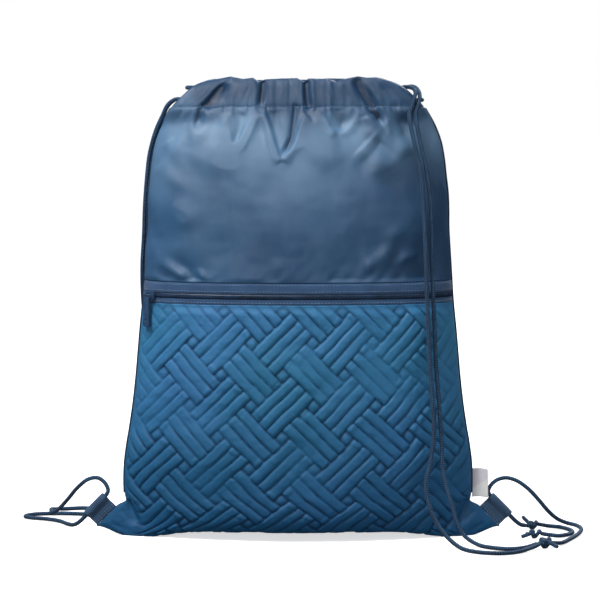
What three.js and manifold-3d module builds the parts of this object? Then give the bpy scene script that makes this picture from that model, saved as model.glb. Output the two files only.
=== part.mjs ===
import * as THREE from 'three';
import { mergeVertices } from 'three/addons/utils/BufferGeometryUtils.js';
import Module from 'manifold-3d';

const wasm = await Module();
wasm.setup();

// Drawstring backpack with a quilted front pocket, stuffed and standing on its flat base.
// Millimetres. X runs across the front, +Y to the back, +Z up, with the base on Z = 0.

// Driving dimensions
const HEIGHT = 428;
const HALF_WIDTH = 163;
const HALF_DEPTH = 50;
const BACK_FULLNESS = 1.052;
const FOOT_HEIGHT = 40;
const BASE_ARCH = 3;
const CLOTH = 1.2;
const QUILT = 2.4;
const QUILT_EDGE = 1.6;
const RIB_HEIGHT = 2.2;
const RIB_WIDTH = 10.35;
const BLOCK_PITCH = 4;
const BLOCK_REACH = 1.5;
const FIRST_BLOCK = { along: 0, over: 2 };
const GAP = 0.3;
const POCKET_TOP = 222;
const ZIP_WIDTH = 19.5;
const CHAIN_WIDTH = 4.2;
const CHAIN_DEPTH = 2.4;
const CHAIN_SHARE = 0.36;
const HEM_WIDTH = 27;
const HEM_DEPTH = 11.6;
const VENT_HEIGHT = 16;
const HEM_CALM = 0.75;
const VENT_CLEARANCE = 0.6;
const CORD = 4;
const CORD_MOUTH = 0.8;
const CORD_SIDES = 8;
const SLIDER_LENGTH = 12;
const SLIDER_WIDTH = 8;
const SLIDER_THICK = 2;
const SLIDER_AT = -0.832;
const BRIDGE_THICK = 1.6;
const PULL_LENGTH = 29;
const PULL_WIDTH = 7.5;
const PULL_THICK = 1.6;
const PULL_RUNNING = 0.5;
const KNUCKLE_WALL = 1.1;
const KNUCKLE_WIDTH = 3.4;
const TAB_REACH = 18;
const TAB_WIDTH = 25;
const WEBBING = 1.2;
const EYE_CLEARANCE = 1;
const LABEL_REACH = 16;
const LABEL_HEIGHT = 27;
const LABEL_THICK = 1;
const LABEL_RISE = 36;
const LABEL_LEAN = 20;
const KNOT_LENGTH = 13;

const HEM_LOW = HEIGHT - HEM_WIDTH;
const VENT_DEPTH = HEM_DEPTH + VENT_CLEARANCE;
const NYLON_LOW = POCKET_TOP + ZIP_WIDTH;
const CHAIN_MIDDLE = POCKET_TOP + CHAIN_SHARE * ZIP_WIDTH;

// Sections from the foot to the fold of the hem. The height is a share of HEIGHT, the width of
// HALF_WIDTH and the depth of HALF_DEPTH. The bulge is the power that rounds the side: above 1 the
// side is a thin edge, below 1 it is round.
const SECTIONS = [
  { height: 0.0935, width: 1.0, depth: 0.93, bulge: 1.7 },
  { height: 0.15, width: 0.999, depth: 0.96, bulge: 1.4 },
  { height: 0.201, width: 0.983, depth: 0.97, bulge: 1.2 },
  { height: 0.257, width: 0.958, depth: 0.98, bulge: 1.08 },
  { height: 0.329, width: 0.933, depth: 0.99, bulge: 0.98 },
  { height: 0.392, width: 0.917, depth: 1.0, bulge: 0.92 },
  { height: 0.456, width: 0.902, depth: 1.0, bulge: 0.88 },
  { height: 0.519, width: 0.885, depth: 1.0, bulge: 0.86 },
  { height: 0.584, width: 0.874, depth: 1.0, bulge: 0.85 },
  { height: 0.68, width: 0.858, depth: 0.98, bulge: 0.84 },
  { height: 0.743, width: 0.855, depth: 0.93, bulge: 0.83 },
  { height: 0.785, width: 0.843, depth: 0.87, bulge: 0.82 },
  { height: 0.825, width: 0.831, depth: 0.8, bulge: 0.82 },
  { height: 0.862, width: 0.813, depth: 0.72, bulge: 0.82 },
  { height: 0.897, width: 0.779, depth: 0.64, bulge: 0.82 },
  { height: 0.93, width: 0.735, depth: 0.57, bulge: 0.82 },
  { height: 0.967, width: 0.647, depth: 0.5, bulge: 0.82 },
  { height: 0.9925, width: 0.55, depth: 0.46, bulge: 0.82 },
  { height: 1.0, width: 0.475, depth: 0.44, bulge: 0.82 },
];

// The foot from the bottom seam outwards. The depth is a share of HALF_DEPTH, the rise (middle of
// the row) and lift (its ends) are shares of FOOT_HEIGHT and the reach a share of HALF_WIDTH. The
// first four rows end on the cut corner that the webbing tab is sewn to.
const FOOT = [
  { depth: 0.0, rise: 0.0, reach: 1.165, lift: 0.2, bulge: 2.2 },
  { depth: 0.26, rise: 0.0, reach: 1.125, lift: 0.367, bulge: 2.2 },
  { depth: 0.52, rise: 0.0, reach: 1.085, lift: 0.533, bulge: 2.2 },
  { depth: 0.7, rise: 0.08, reach: 1.045, lift: 0.7, bulge: 2.1 },
  { depth: 0.83, rise: 0.3, reach: 0.998, lift: 0.8, bulge: 1.95 },
  { depth: 0.9, rise: 0.62, reach: 0.996, lift: 0.89, bulge: 1.8 },
];

// Creases of the gathered neck. The ends run from (fromX, fromZ) to (toX, toZ), X as shares of
// HALF_WIDTH and Z of HEIGHT. The depth is a share of HALF_DEPTH and the width of HALF_WIDTH.
const FRONT_CREASES = [
  { fromX: -0.435, fromZ: 0.98, toX: -0.6, toZ: 0.88, depth: 0.11, width: 0.03 },
  { fromX: -0.29, fromZ: 1.0, toX: -0.36, toZ: 0.84, depth: 0.07, width: 0.035 },
  { fromX: -0.215, fromZ: 1.0, toX: -0.205, toZ: 0.92, depth: 0.13, width: 0.025 },
  { fromX: 0.0, fromZ: 0.97, toX: -0.1, toZ: 0.82, depth: 0.1, width: 0.04 },
  { fromX: 0.045, fromZ: 1.0, toX: 0.06, toZ: 0.92, depth: 0.13, width: 0.025 },
  { fromX: 0.2, fromZ: 0.99, toX: 0.225, toZ: 0.87, depth: 0.06, width: 0.04 },
  { fromX: 0.31, fromZ: 1.0, toX: 0.48, toZ: 0.89, depth: 0.12, width: 0.035 },
];
const BACK_CREASES = [
  { fromX: -0.42, fromZ: 1.0, toX: -0.5, toZ: 0.87, depth: 0.1, width: 0.035 },
  { fromX: -0.24, fromZ: 1.0, toX: -0.26, toZ: 0.83, depth: 0.12, width: 0.03 },
  { fromX: -0.06, fromZ: 1.0, toX: -0.04, toZ: 0.88, depth: 0.1, width: 0.03 },
  { fromX: 0.1, fromZ: 1.0, toX: 0.12, toZ: 0.82, depth: 0.12, width: 0.035 },
  { fromX: 0.27, fromZ: 1.0, toX: 0.3, toZ: 0.88, depth: 0.1, width: 0.03 },
  { fromX: 0.42, fromZ: 1.0, toX: 0.51, toZ: 0.86, depth: 0.1, width: 0.035 },
];

// Cord routes in millimetres, chosen by hand, from each tunnel's mouth or knot onwards.
const RIGHT_A = [
  [94.4, -11.2, 420], [98.8, -9.8, 420.6], [103.2, -10.1, 420.4], [106.8, -12.4, 418.9],
  [108.3, -16.3, 416], [107.5, -20.5, 411.9], [105.5, -24.3, 406.2], [103.6, -26.8, 400.4],
  [102.4, -27.6, 397], [103, -30.6, 388], [105.2, -34, 376.5], [108.8, -37.4, 360],
  [113, -40, 340], [115.3, -42.5, 309], [117, -43.5, 273], [118, -44, 238], [119.5, -44.5, 208],
  [121.5, -45, 164], [124.3, -46, 129], [125.4, -47, 102], [122, -49, 76], [118, -53, 60],
  [119, -56.5, 45], [125, -61, 27], [135, -66, 12], [147, -77, 3], [160, -96, 2.2],
  [182, -104, 2.2], [200, -96, 2.2], [212, -84, 3.2], [220.2, -76.1, 4.8],
];
const RIGHT_B = [
  [94.4, 11.2, 420], [98.6, 10.5, 420.1], [101.9, 8.2, 420.4], [104.2, 4.6, 420.8],
  [105.7, 0, 421], [108.4, -4.4, 420.2], [111.1, -9.6, 417.2], [112.3, -15.2, 412.6],
  [111.2, -20.8, 406], [108.2, -25.2, 396.5], [109.6, -29, 383], [113, -32.2, 367],
  [117.3, -34.5, 348], [120.5, -36.5, 326], [122.3, -38, 300], [123, -38, 265], [124, -38.5, 238],
  [125.4, -39, 208], [127.4, -40, 163], [130.4, -41, 128], [132.4, -42, 101], [133.6, -44, 73],
  [136, -48, 57], [142, -53, 37], [146, -56, 23], [153, -59, 10], [165, -65, 2.8], [180, -79, 2.2],
  [195, -83, 2.2], [208, -78.5, 2.8], [218.5, -72, 4.8],
];
const RIGHT_ARCH = [
  [231.9, -66.8, 4.8], [242, -56, 2.6], [254, -32, 2.2], [264, -6, 2.2], [269, 18, 2.2],
  [266, 33, 2.6], [257, 33, 5], [247, 24, 10.5], [237, 14, 20], [228, 8, 31], [217, 3.5, 43],
  [206, 1, 51], [196, 0, 54], [187.5, 0, 52], [181.6, 0, 47], [179.2, 0, 41.6],
  [180.7, 0, 37.6], [190.2, 0, 27.9], [199.8, 0, 18.1], [205, 3.5, 12.6], [210.5, 11, 7.6],
  [216, 19.9, 4.8],
];
const RIGHT_LOOP = [
  [228.7, 27.8, 4.8], [238, 31, 2.6], [249, 27, 2.2], [257, 14, 2.2], [259, 0, 2.2],
  [253, -12, 2.2], [243, -19, 2.4], [234, -20.5, 3.6], [227.1, -21, 4.8],
];
const LEFT_C = [
  [-107.3, -11.2, 408.6], [-113.5, -9, 409], [-120.4, -7.5, 404], [-125.5, -4.5, 394],
  [-130.7, -2.5, 383], [-134.8, -1, 371], [-138.4, 0.5, 356], [-140.8, 1.5, 335],
  [-142.8, 3, 310], [-144, 5, 282], [-145.8, 8, 255], [-146, 16, 225], [-144, 27, 190],
  [-141.5, 36, 150], [-141, 42, 110], [-142, 48, 70], [-145, 54, 35], [-151, 61, 12],
  [-162, 70, 2.8], [-180, 83, 2.2], [-201, 93, 2.2], [-224, 99, 2.2], [-247, 99, 2.2],
  [-262, 93, 2.2], [-266, 83, 2.2], [-257, 75, 2.2], [-243, 69, 2.2], [-230, 58, 2.2],
  [-221, 43, 2.2], [-214, 26, 4.5], [-206, 6, 11.5], [-199.8, 0, 18.1], [-190.2, 0, 27.9],
  [-180.7, 0, 37.6], [-178.8, 0.6, 42], [-181.8, 2.5, 48.5], [-188.5, 5, 53], [-198, 10, 51],
  [-209, 20, 41.5], [-220, 36, 27.5], [-231, 58, 14], [-239, 78, 7.4], [-242, 97, 6.8],
  [-240, 114, 4], [-231, 126, 2.2], [-212, 130, 2.2], [-192, 121, 2.2], [-176, 107, 2.6],
  [-167.8, 98, 4.9],
];
const LEFT_D = [
  [-107.3, 11.2, 408.6], [-113.5, 9, 409], [-120.6, 8.6, 403.6], [-126, 7.7, 393],
  [-131.2, 6.5, 381.5], [-135.4, 6, 369], [-138.8, 6.7, 352], [-141, 8, 330], [-142.6, 10, 306],
  [-143.4, 12.5, 280], [-143.8, 16, 255], [-141, 26, 225], [-137, 36, 190], [-134, 43, 150],
  [-133, 48, 110], [-133, 52.5, 70], [-134, 58, 35], [-138, 68, 14], [-146, 78, 5.4],
  [-158.3, 87.2, 4.9],
];
const KNOTS = [
  { name: 'knot_right_pair', at: [225.5, -70.5, 5.7], toward: [0.87, 0.5, 0], radius: 5.6 },
  { name: 'knot_right_a', at: [222.4, 24.1, 4.8], toward: [0.85, 0.53, 0], radius: 4.6 },
  { name: 'knot_right_b', at: [220.3, -21.5, 4.8], toward: [1, 0.07, 0], radius: 4.6 },
  { name: 'knot_left', at: [-163, 92.6, 4.9], toward: [0.66, -0.755, 0], radius: 4.6 },
];

const colours = {
  nylon: new THREE.MeshStandardMaterial({ color: '#46627f', roughness: 0.42, metalness: 0 }),
  quilt: new THREE.MeshStandardMaterial({ color: '#336791', roughness: 0.62, metalness: 0 }),
  zip: new THREE.MeshStandardMaterial({ color: '#2f5072', roughness: 0.7, metalness: 0 }),
  chain: new THREE.MeshStandardMaterial({ color: '#1b3a5c', roughness: 0.5, metalness: 0 }),
  metal: new THREE.MeshStandardMaterial({ color: '#2b4f75', roughness: 0.35, metalness: 0.6 }),
  webbing: new THREE.MeshStandardMaterial({ color: '#3a5878', roughness: 0.75, metalness: 0 }),
  label: new THREE.MeshStandardMaterial({ color: '#d9dadb', roughness: 0.5, metalness: 0 }),
  cord: new THREE.MeshStandardMaterial({ color: '#35486a', roughness: 0.8, metalness: 0 }),
};

const bag = new THREE.Group();

function add(name, geometry, material, parent = bag) {
  const mesh = new THREE.Mesh(geometry, material);
  mesh.name = name;
  parent.add(mesh);
  return mesh;
}

const sectionTable = new THREE.CubicInterpolant(
  SECTIONS.map((row) => row.height),
  SECTIONS.flatMap((row) => [row.width, row.depth, row.bulge]),
  3,
);

// One level of the bag: how wide and deep it is, and how high its middle and its ends lie.
function bodyRow(height) {
  const [width, depth, bulge] = sectionTable.evaluate(height / HEIGHT);
  const vent = VENT_DEPTH * THREE.MathUtils.smoothstep(height, HEM_LOW - VENT_HEIGHT, HEM_LOW);
  return {
    width: width * HALF_WIDTH, depth: depth * HALF_DEPTH, bulge, middle: height, end: height, vent, seam: 1,
  };
}

function footRow({ depth, rise, reach, lift, bulge }) {
  return {
    width: reach * HALF_WIDTH, depth: depth * HALF_DEPTH, bulge,
    middle: rise * FOOT_HEIGHT, end: lift * FOOT_HEIGHT, vent: 0, seam: depth > 0 ? 1 : 0,
  };
}

function levels(low, high, count) {
  return Array.from({ length: count + 1 }, (_, i) => bodyRow(THREE.MathUtils.lerp(low, high, i / count)));
}

function crease(creases, x, z) {
  let depth = 0;
  const hemShare = THREE.MathUtils.smoothstep(z, HEM_LOW - VENT_HEIGHT, HEM_LOW);
  for (const line of creases) {
    const from = new THREE.Vector2(line.fromX * HALF_WIDTH, line.fromZ * HEIGHT);
    const run = new THREE.Vector2(line.toX * HALF_WIDTH, line.toZ * HEIGHT).sub(from);
    const along = new THREE.Vector2(x, z).sub(from).dot(run) / run.lengthSq();
    const away = new THREE.Vector2(x, z).distanceTo(from.clone().addScaledVector(run, along));
    const fade = 1 - THREE.MathUtils.smoothstep(along, 0.45, 1.25);
    depth += line.depth * HALF_DEPTH * fade * Math.exp(-((away / (line.width * HALF_WIDTH)) ** 2));
  }
  return depth * (1 - HEM_CALM * hemShare);
}

// A point of the front's outer face. The angle runs from -90 degrees at the left side seam to +90
// at the right one, and the edge is the cloth's thickness in the seam.
function facePoint(row, angle, edge, creases) {
  const across = Math.sin(angle);
  const round = Math.max(Math.cos(angle), 0) ** row.bulge;
  const seam = GAP / 2 + edge * row.seam;
  const x = row.width * across;
  const nearEnd = THREE.MathUtils.smoothstep(Math.abs(across), 0.82, 1);
  const arch = BASE_ARCH * (1 - THREE.MathUtils.smoothstep(Math.abs(x) / HALF_WIDTH, 0.3, 0.62));
  const archFade = Math.max(1 - row.middle / FOOT_HEIGHT, 0);
  const z = THREE.MathUtils.lerp(row.middle, row.end, nearEnd) + arch * archFade;
  const inward = crease(creases, x, z) * round;
  const y = -(seam + row.vent + Math.max(row.depth - row.vent, 0) * round - inward);
  return new THREE.Vector3(x, y, z);
}

// Angles that cut the front into stretches of equal length at one level.
function evenAngles(count, height) {
  const row = bodyRow(height);
  const samples = 360;
  const lengths = [0];
  let last = facePoint(row, -Math.PI / 2, 0, []);
  for (let i = 1; i <= samples; i++) {
    const next = facePoint(row, (i / samples - 0.5) * Math.PI, 0, []);
    lengths.push(lengths[i - 1] + next.distanceTo(last));
    last = next;
  }
  const total = lengths[samples];
  const angles = [];
  for (let step = 0, i = 0; step <= count; step++) {
    const wanted = (total * step) / count;
    while (i < samples - 1 && lengths[i + 1] < wanted) i++;
    const share = (wanted - lengths[i]) / (lengths[i + 1] - lengths[i]);
    angles.push(((i + Math.min(share, 1)) / samples - 0.5) * Math.PI);
  }
  return { angles, total };
}

function gridNormal(grid, r, c) {
  const rows = grid.length - 1;
  const columns = grid[0].length - 1;
  const across = grid[r][Math.min(c + 1, columns)].clone().sub(grid[r][Math.max(c - 1, 0)]);
  const up = grid[Math.min(r + 1, rows)][c].clone().sub(grid[Math.max(r - 1, 0)][c]);
  return across.cross(up).normalize();
}

function meshGeometry(vertices, faces) {
  const geometry = new THREE.BufferGeometry();
  geometry.setAttribute('position', new THREE.Float32BufferAttribute(vertices.flatMap((v) => [v.x, v.y, v.z]), 3));
  geometry.setIndex(faces.flat());
  geometry.computeVertexNormals();
  return geometry;
}

// A closed panel of cloth over a grid of outer points. The wall and relief functions give the
// thickness inwards and the height outwards at a row and column. The inner face may be coarser: it
// has a vertex only where keepRow and keepColumn say so. slash says which way a cell is split.
function panel(grid, options) {
  const { wall, relief = () => 0, slash = () => true, foot = false } = options;
  const { keepRow = () => true, keepColumn = () => true } = options;
  const rows = grid.length - 1;
  const columns = grid[0].length - 1;
  const vertices = [];
  const faces = [];
  const outer = (r, c) => r * (columns + 1) + c;
  const innerAt = new Map();
  const inner = (r, c) => innerAt.get(outer(r, c));
  const sewn = (c) => c === 0 || c === columns;
  const direction = (r, c) => {
    if (foot && r === 0 && sewn(c)) return new THREE.Vector3(c === 0 ? -1 : 1, 0, 0);
    if (foot && r === 0) return new THREE.Vector3(0, 0, -1);
    return sewn(c) ? new THREE.Vector3(0, -1, 0) : gridNormal(grid, r, c);
  };
  for (let r = 0; r <= rows; r++) {
    for (let c = 0; c <= columns; c++) {
      vertices.push(grid[r][c].clone().addScaledVector(direction(r, c), relief(r, c)));
    }
  }
  const keptRows = grid.map((_, r) => r).filter((r) => r === 0 || r === rows || keepRow(r));
  const keptColumns = grid[0].map((_, c) => c).filter((c) => sewn(c) || keepColumn(c));
  for (const r of keptRows) {
    for (const c of keptColumns) {
      const point = grid[r][c].clone().addScaledVector(direction(r, c), -wall(r, c));
      point.y = Math.min(point.y, -GAP / 2);
      innerAt.set(outer(r, c), vertices.length);
      vertices.push(point);
    }
  }
  for (let r = 0; r < rows; r++) {
    for (let c = 0; c < columns; c++) {
      const [a, b, d, e] = [outer(r, c), outer(r, c + 1), outer(r + 1, c + 1), outer(r + 1, c)];
      faces.push(...(slash(r, c) ? [[a, b, d], [a, d, e]] : [[a, b, e], [b, d, e]]));
    }
  }
  for (let i = 1; i < keptRows.length; i++) {
    for (let j = 1; j < keptColumns.length; j++) {
      const [low, high, left, right] = [keptRows[i - 1], keptRows[i], keptColumns[j - 1], keptColumns[j]];
      const [a, b, d, e] = [inner(low, left), inner(low, right), inner(high, right), inner(high, left)];
      faces.push([a, d, b], [a, e, d]);
    }
  }
  const rim = [];
  for (let c = 0; c < columns; c++) rim.push([0, c]);
  for (let r = 0; r < rows; r++) rim.push([r, columns]);
  for (let c = columns; c > 0; c--) rim.push([rows, c]);
  for (let r = rows; r > 0; r--) rim.push([r, 0]);
  let held = inner(0, 0);
  for (let i = 0; i < rim.length; i++) {
    const next = rim[(i + 1) % rim.length];
    faces.push([outer(...next), outer(...rim[i]), held]);
    if (innerAt.has(outer(...next))) {
      faces.push([outer(...next), held, inner(...next)]);
      held = inner(...next);
    }
  }
  return meshGeometry(vertices, faces);
}

// The front's twin on the other side of the side seams. The back is a little fuller.
function mirrored(geometry) {
  const twin = geometry.clone();
  twin.scale(1, -BACK_FULLNESS, 1);
  const index = Array.from(twin.index.array);
  for (let i = 0; i < index.length; i += 3) [index[i], index[i + 1]] = [index[i + 1], index[i]];
  twin.setIndex(index);
  twin.computeVertexNormals();
  return twin;
}

function gridOf(rows, angles, edge, creases) {
  return rows.map((row) => angles.map((angle) => facePoint(row, angle, edge, creases)));
}

// Basket-weave quilting: blocks of three ribs, each block five ribs long, lean one way and the
// other in a chequer, with one small square puff at each corner between four blocks. Pitch, reach
// and first block count in ribs along the two diagonals. Grid vertices lie on ribs and stitch lines
// in turn, and a block's cells are split along its ribs.
function quiltedPanel() {
  const pitch = RIB_WIDTH / Math.SQRT2;
  const level = POCKET_TOP / 2;
  const columns = 2 * Math.round(evenAngles(1, level).total / pitch / 2);
  const footRows = FOOT.map(footRow);
  const bodyRows = levels(FOOT_HEIGHT, POCKET_TOP - GAP, Math.round((POCKET_TOP - FOOT_HEIGHT) / pitch));
  const grid = gridOf([...footRows, ...bodyRows], evenAngles(columns, level).angles, QUILT_EDGE, []);
  const rows = grid.length - 1;
  const middle = columns / 2;
  const atEdge = (r, c) => r === 0 || r === rows || c === 0 || c === columns;
  const inEar = (r, c) => r < footRows.length && Math.abs(c - middle) > 0.8 * middle;
  const onStitch = (r, c) => (r + c) % 2 === 1 || r < footRows.length / 2;
  const leansRight = (r, c) => {
    const along = (r + c - middle + 1) / 2 - FIRST_BLOCK.along;
    const over = (r - c + middle) / 2 - FIRST_BLOCK.over;
    const [blockAlong, blockOver] = [Math.round(along / BLOCK_PITCH), Math.round(over / BLOCK_PITCH)];
    const fromMiddle = [Math.abs(along - blockAlong * BLOCK_PITCH), Math.abs(over - blockOver * BLOCK_PITCH)];
    const rightBlock = (blockAlong + blockOver) % 2 === 0;
    const [lengthwise, beside] = rightBlock ? fromMiddle : fromMiddle.toReversed();
    const inNeighbour = beside > BLOCK_REACH && lengthwise <= BLOCK_REACH;
    return inNeighbour ? !rightBlock : rightBlock;
  };
  return panel(grid, {
    foot: true,
    keepRow: (r) => r <= footRows.length || r % 4 === 0,
    keepColumn: (c) => (c - middle) % 3 === 0,
    wall: (r, c) => (atEdge(r, c) ? QUILT_EDGE : QUILT),
    relief: (r, c) => (atEdge(r, c) || inEar(r, c) || onStitch(r, c) ? 0 : RIB_HEIGHT),
    slash: leansRight,
  });
}

function backPanel() {
  const columns = 24;
  const rows = [...FOOT.map(footRow), ...levels(FOOT_HEIGHT, HEM_LOW - GAP, 9)];
  const grid = gridOf(rows, evenAngles(columns, HEIGHT / 2).angles, CLOTH, BACK_CREASES);
  return mirrored(panel(grid, { wall: () => CLOTH, foot: true }));
}

function frontStrip(low, high, { columns, rows = 1, wall = CLOTH, proud = 0, creases = [] }) {
  const grid = gridOf(levels(low, high, rows), evenAngles(columns, HEIGHT / 2).angles, CLOTH, creases);
  const inside = (c) => (c === 0 || c === columns ? 0 : 1);
  return panel(grid, {
    wall: (r, c) => CLOTH + (wall - CLOTH) * inside(c),
    relief: (r, c) => proud * inside(c),
  });
}

// The hem: cloth folded over and stitched down, an open tunnel across the mouth for the cords.
function hemTunnel(creases) {
  const stations = 24;
  const sides = 8;
  const angles = evenAngles(stations, HEM_LOW + HEM_WIDTH / 2).angles;
  const ring = (angle, inset) => Array.from({ length: sides }, (_, i) => {
    const turn = (2 * Math.PI * i) / sides + Math.PI / sides;
    const rounded = (value) => Math.sign(value) * Math.abs(value) ** 0.6;
    const rise = 0.5 + 0.5 * rounded(Math.sin(turn));
    const back = 0.5 - 0.5 * rounded(Math.cos(turn));
    const height = THREE.MathUtils.lerp(HEM_LOW + inset, HEIGHT - inset, rise);
    const point = facePoint(bodyRow(height), angle, CLOTH, creases);
    point.y += inset + back * (HEM_DEPTH - 2 * inset);
    return point;
  });
  const vertices = angles.flatMap((angle) => [...ring(angle, 0), ...ring(angle, CLOTH)]);
  const faces = [];
  const at = (station, wall, side) => (station * 2 + wall) * sides + (side % sides);
  const quad = (a, b, c, d) => faces.push([a, b, c], [a, c, d]);
  for (let i = 0; i < sides; i++) {
    for (let s = 0; s < stations; s++) {
      quad(at(s, 0, i), at(s + 1, 0, i), at(s + 1, 0, i + 1), at(s, 0, i + 1));
      quad(at(s, 1, i), at(s, 1, i + 1), at(s + 1, 1, i + 1), at(s + 1, 1, i));
    }
    quad(at(0, 0, i), at(0, 0, i + 1), at(0, 1, i + 1), at(0, 1, i));
    quad(at(stations, 0, i), at(stations, 1, i), at(stations, 1, i + 1), at(stations, 0, i + 1));
  }
  return meshGeometry(vertices, faces);
}

// A smooth way through points, whose even steps fall on the points themselves.
class Route extends THREE.CatmullRomCurve3 {
  getPointAt(share, target) {
    return this.getPoint(share, target);
  }

  getTangentAt(share, target) {
    return this.getTangent(share, target);
  }
}

function tube(points) {
  const path = new Route(points, false, 'centripetal');
  const section = new THREE.Shape(Array.from({ length: CORD_SIDES }, (_, i) => {
    const turn = (2 * Math.PI * i) / CORD_SIDES;
    return new THREE.Vector2(Math.cos(turn), Math.sin(turn)).multiplyScalar(CORD / 2);
  }));
  const options = { steps: points.length - 1, extrudePath: path, bevelEnabled: false };
  return new THREE.ExtrudeGeometry(section, options);
}

function routed(points) {
  return tube(points.map((point) => new THREE.Vector3(...point)));
}

// A drawstring's stretch in the tunnels: in at one mouth of the front tunnel, round the far side
// seam and back through the rear tunnel. The two strings run one above the other.
function hemCord(side, share) {
  const height = HEIGHT - HEM_WIDTH * share;
  const stations = 10;
  const front = Array.from({ length: stations + 1 }, (_, i) => {
    const angle = (1 - (2 * i) / stations) * CORD_MOUTH * Math.PI / 2;
    const point = facePoint(bodyRow(height), angle, CLOTH, []);
    return new THREE.Vector3(point.x * side, point.y + HEM_DEPTH / 2, height);
  });
  const mouth = facePoint(bodyRow(height), Math.PI / 2, CLOTH, []);
  front.push(new THREE.Vector3(-side * (mouth.x + 1), mouth.y + HEM_DEPTH / 2, height));
  const bight = new THREE.Vector3(-side * (mouth.x + CORD * 1.5), 0, height);
  const back = front.map(({ x, y, z }) => new THREE.Vector3(x, -y * BACK_FULLNESS, z)).reverse();
  return tube([...front, bight, ...back]);
}

// Where a seam end of a foot row lies, at the right-hand side.
function cornerOf(row) {
  return new THREE.Vector3(row.reach * HALF_WIDTH, 0, row.lift * FOOT_HEIGHT);
}

// Webbing folded over the cord and sewn to the cut corner: a teardrop section drawn along the cut.
function webbingTab() {
  const tip = cornerOf(FOOT[0]);
  const top = cornerOf(FOOT[3]);
  const along = top.clone().sub(tip).normalize();
  const outward = new THREE.Vector3(along.z, 0, -along.x);
  const eye = CORD / 2 + EYE_CLEARANCE + WEBBING;
  const centre = TAB_REACH - eye;
  const loop = (radius, start) => {
    const shape = new THREE.Path();
    const flat = start > 0 ? GAP / 2 : GAP / 2 + WEBBING;
    shape.moveTo(start, flat);
    shape.lineTo(centre - radius * 1.2, flat);
    shape.absarc(centre, 0, radius, THREE.MathUtils.degToRad(140), THREE.MathUtils.degToRad(-140), true);
    shape.lineTo(centre - radius * 1.2, -flat);
    shape.lineTo(start, -flat);
    return shape.getPoints(3);
  };
  const outline = loop(eye, 0);
  const slot = loop(eye - WEBBING, WEBBING);
  const shape = new THREE.Shape(outline.reverse());
  shape.holes.push(new THREE.Path(slot));
  const geometry = new THREE.ExtrudeGeometry(shape, { depth: TAB_WIDTH, steps: 1, bevelEnabled: false });
  const spread = (TAB_WIDTH - top.distanceTo(tip)) / 2;
  const start = tip.clone().addScaledVector(along, -spread).addScaledVector(outward, GAP);
  const normal = along.clone().cross(outward);
  geometry.applyMatrix4(new THREE.Matrix4().makeBasis(outward, normal, along).setPosition(start));
  return geometry;
}

function flipped(geometry) {
  const twin = geometry.index ? geometry.toNonIndexed() : geometry.clone();
  twin.scale(-1, 1, 1);
  const position = twin.attributes.position;
  const [first, second] = [new THREE.Vector3(), new THREE.Vector3()];
  for (let i = 0; i < position.count; i += 3) {
    first.fromBufferAttribute(position, i);
    second.fromBufferAttribute(position, i + 1);
    position.setXYZ(i, second.x, second.y, second.z);
    position.setXYZ(i + 1, first.x, first.y, first.z);
  }
  twin.computeVertexNormals();
  return twin;
}

function boxBetween(low, high) {
  const size = high.clone().sub(low);
  const geometry = new THREE.BoxGeometry(size.x, size.y, size.z);
  geometry.translate(low.x + size.x / 2, low.y + size.y / 2, low.z + size.z / 2);
  return geometry;
}

// A knot is a short thick barrel along the cord's way.
function knot({ at, toward, radius }) {
  const half = KNOT_LENGTH / 2;
  const profile = [[0, -half], [0.78, -half], [1, -0.5 * half], [1, 0.5 * half], [0.78, half], [0, half]];
  const points = profile.map(([share, along]) => new THREE.Vector2(share * radius, along));
  const geometry = new THREE.LatheGeometry(points, 8);
  const turn = new THREE.Quaternion().setFromUnitVectors(
    new THREE.Vector3(0, 1, 0), new THREE.Vector3(...toward).normalize(),
  );
  geometry.applyQuaternion(turn);
  geometry.translate(...at);
  return geometry;
}

function solid(geometry) {
  const bare = geometry.clone();
  bare.deleteAttribute('normal');
  bare.deleteAttribute('uv');
  const merged = mergeVertices(bare, 1e-4);
  return new wasm.Manifold(new wasm.Mesh({
    numProp: 3,
    vertProperties: new Float32Array(merged.attributes.position.array),
    triVerts: new Uint32Array(merged.index.array),
  }));
}

function joined(...geometries) {
  const mesh = geometries.map(solid).reduce((whole, piece) => whole.add(piece)).getMesh();
  const geometry = new THREE.BufferGeometry();
  geometry.setAttribute('position', new THREE.BufferAttribute(mesh.vertProperties, 3));
  geometry.setIndex(new THREE.BufferAttribute(mesh.triVerts, 1));
  geometry.computeVertexNormals();
  return geometry;
}

// The slider sits near the left end of the chain and faces as the belly faces there. In its own
// frame X runs along the chain, -Y away from it, and Y = 0 is the face of the tapes.
function sliderSeat() {
  const row = bodyRow(CHAIN_MIDDLE);
  const angle = Math.asin((SLIDER_AT * HALF_WIDTH) / row.width);
  const step = 0.02;
  const along = facePoint(row, angle + step, CLOTH, []).sub(facePoint(row, angle - step, CLOTH, []));
  return { at: facePoint(row, angle, CLOTH, []), turn: Math.atan2(along.y, along.x) };
}

const bodyFace = -(CHAIN_DEPTH - CLOTH) - 2 * GAP;
const bodyTop = bodyFace - SLIDER_THICK;
const knuckleHole = BRIDGE_THICK * Math.SQRT1_2 + PULL_RUNNING;
const knuckleOut = knuckleHole + KNUCKLE_WALL;
const barAt = bodyTop - knuckleOut - GAP;

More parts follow.
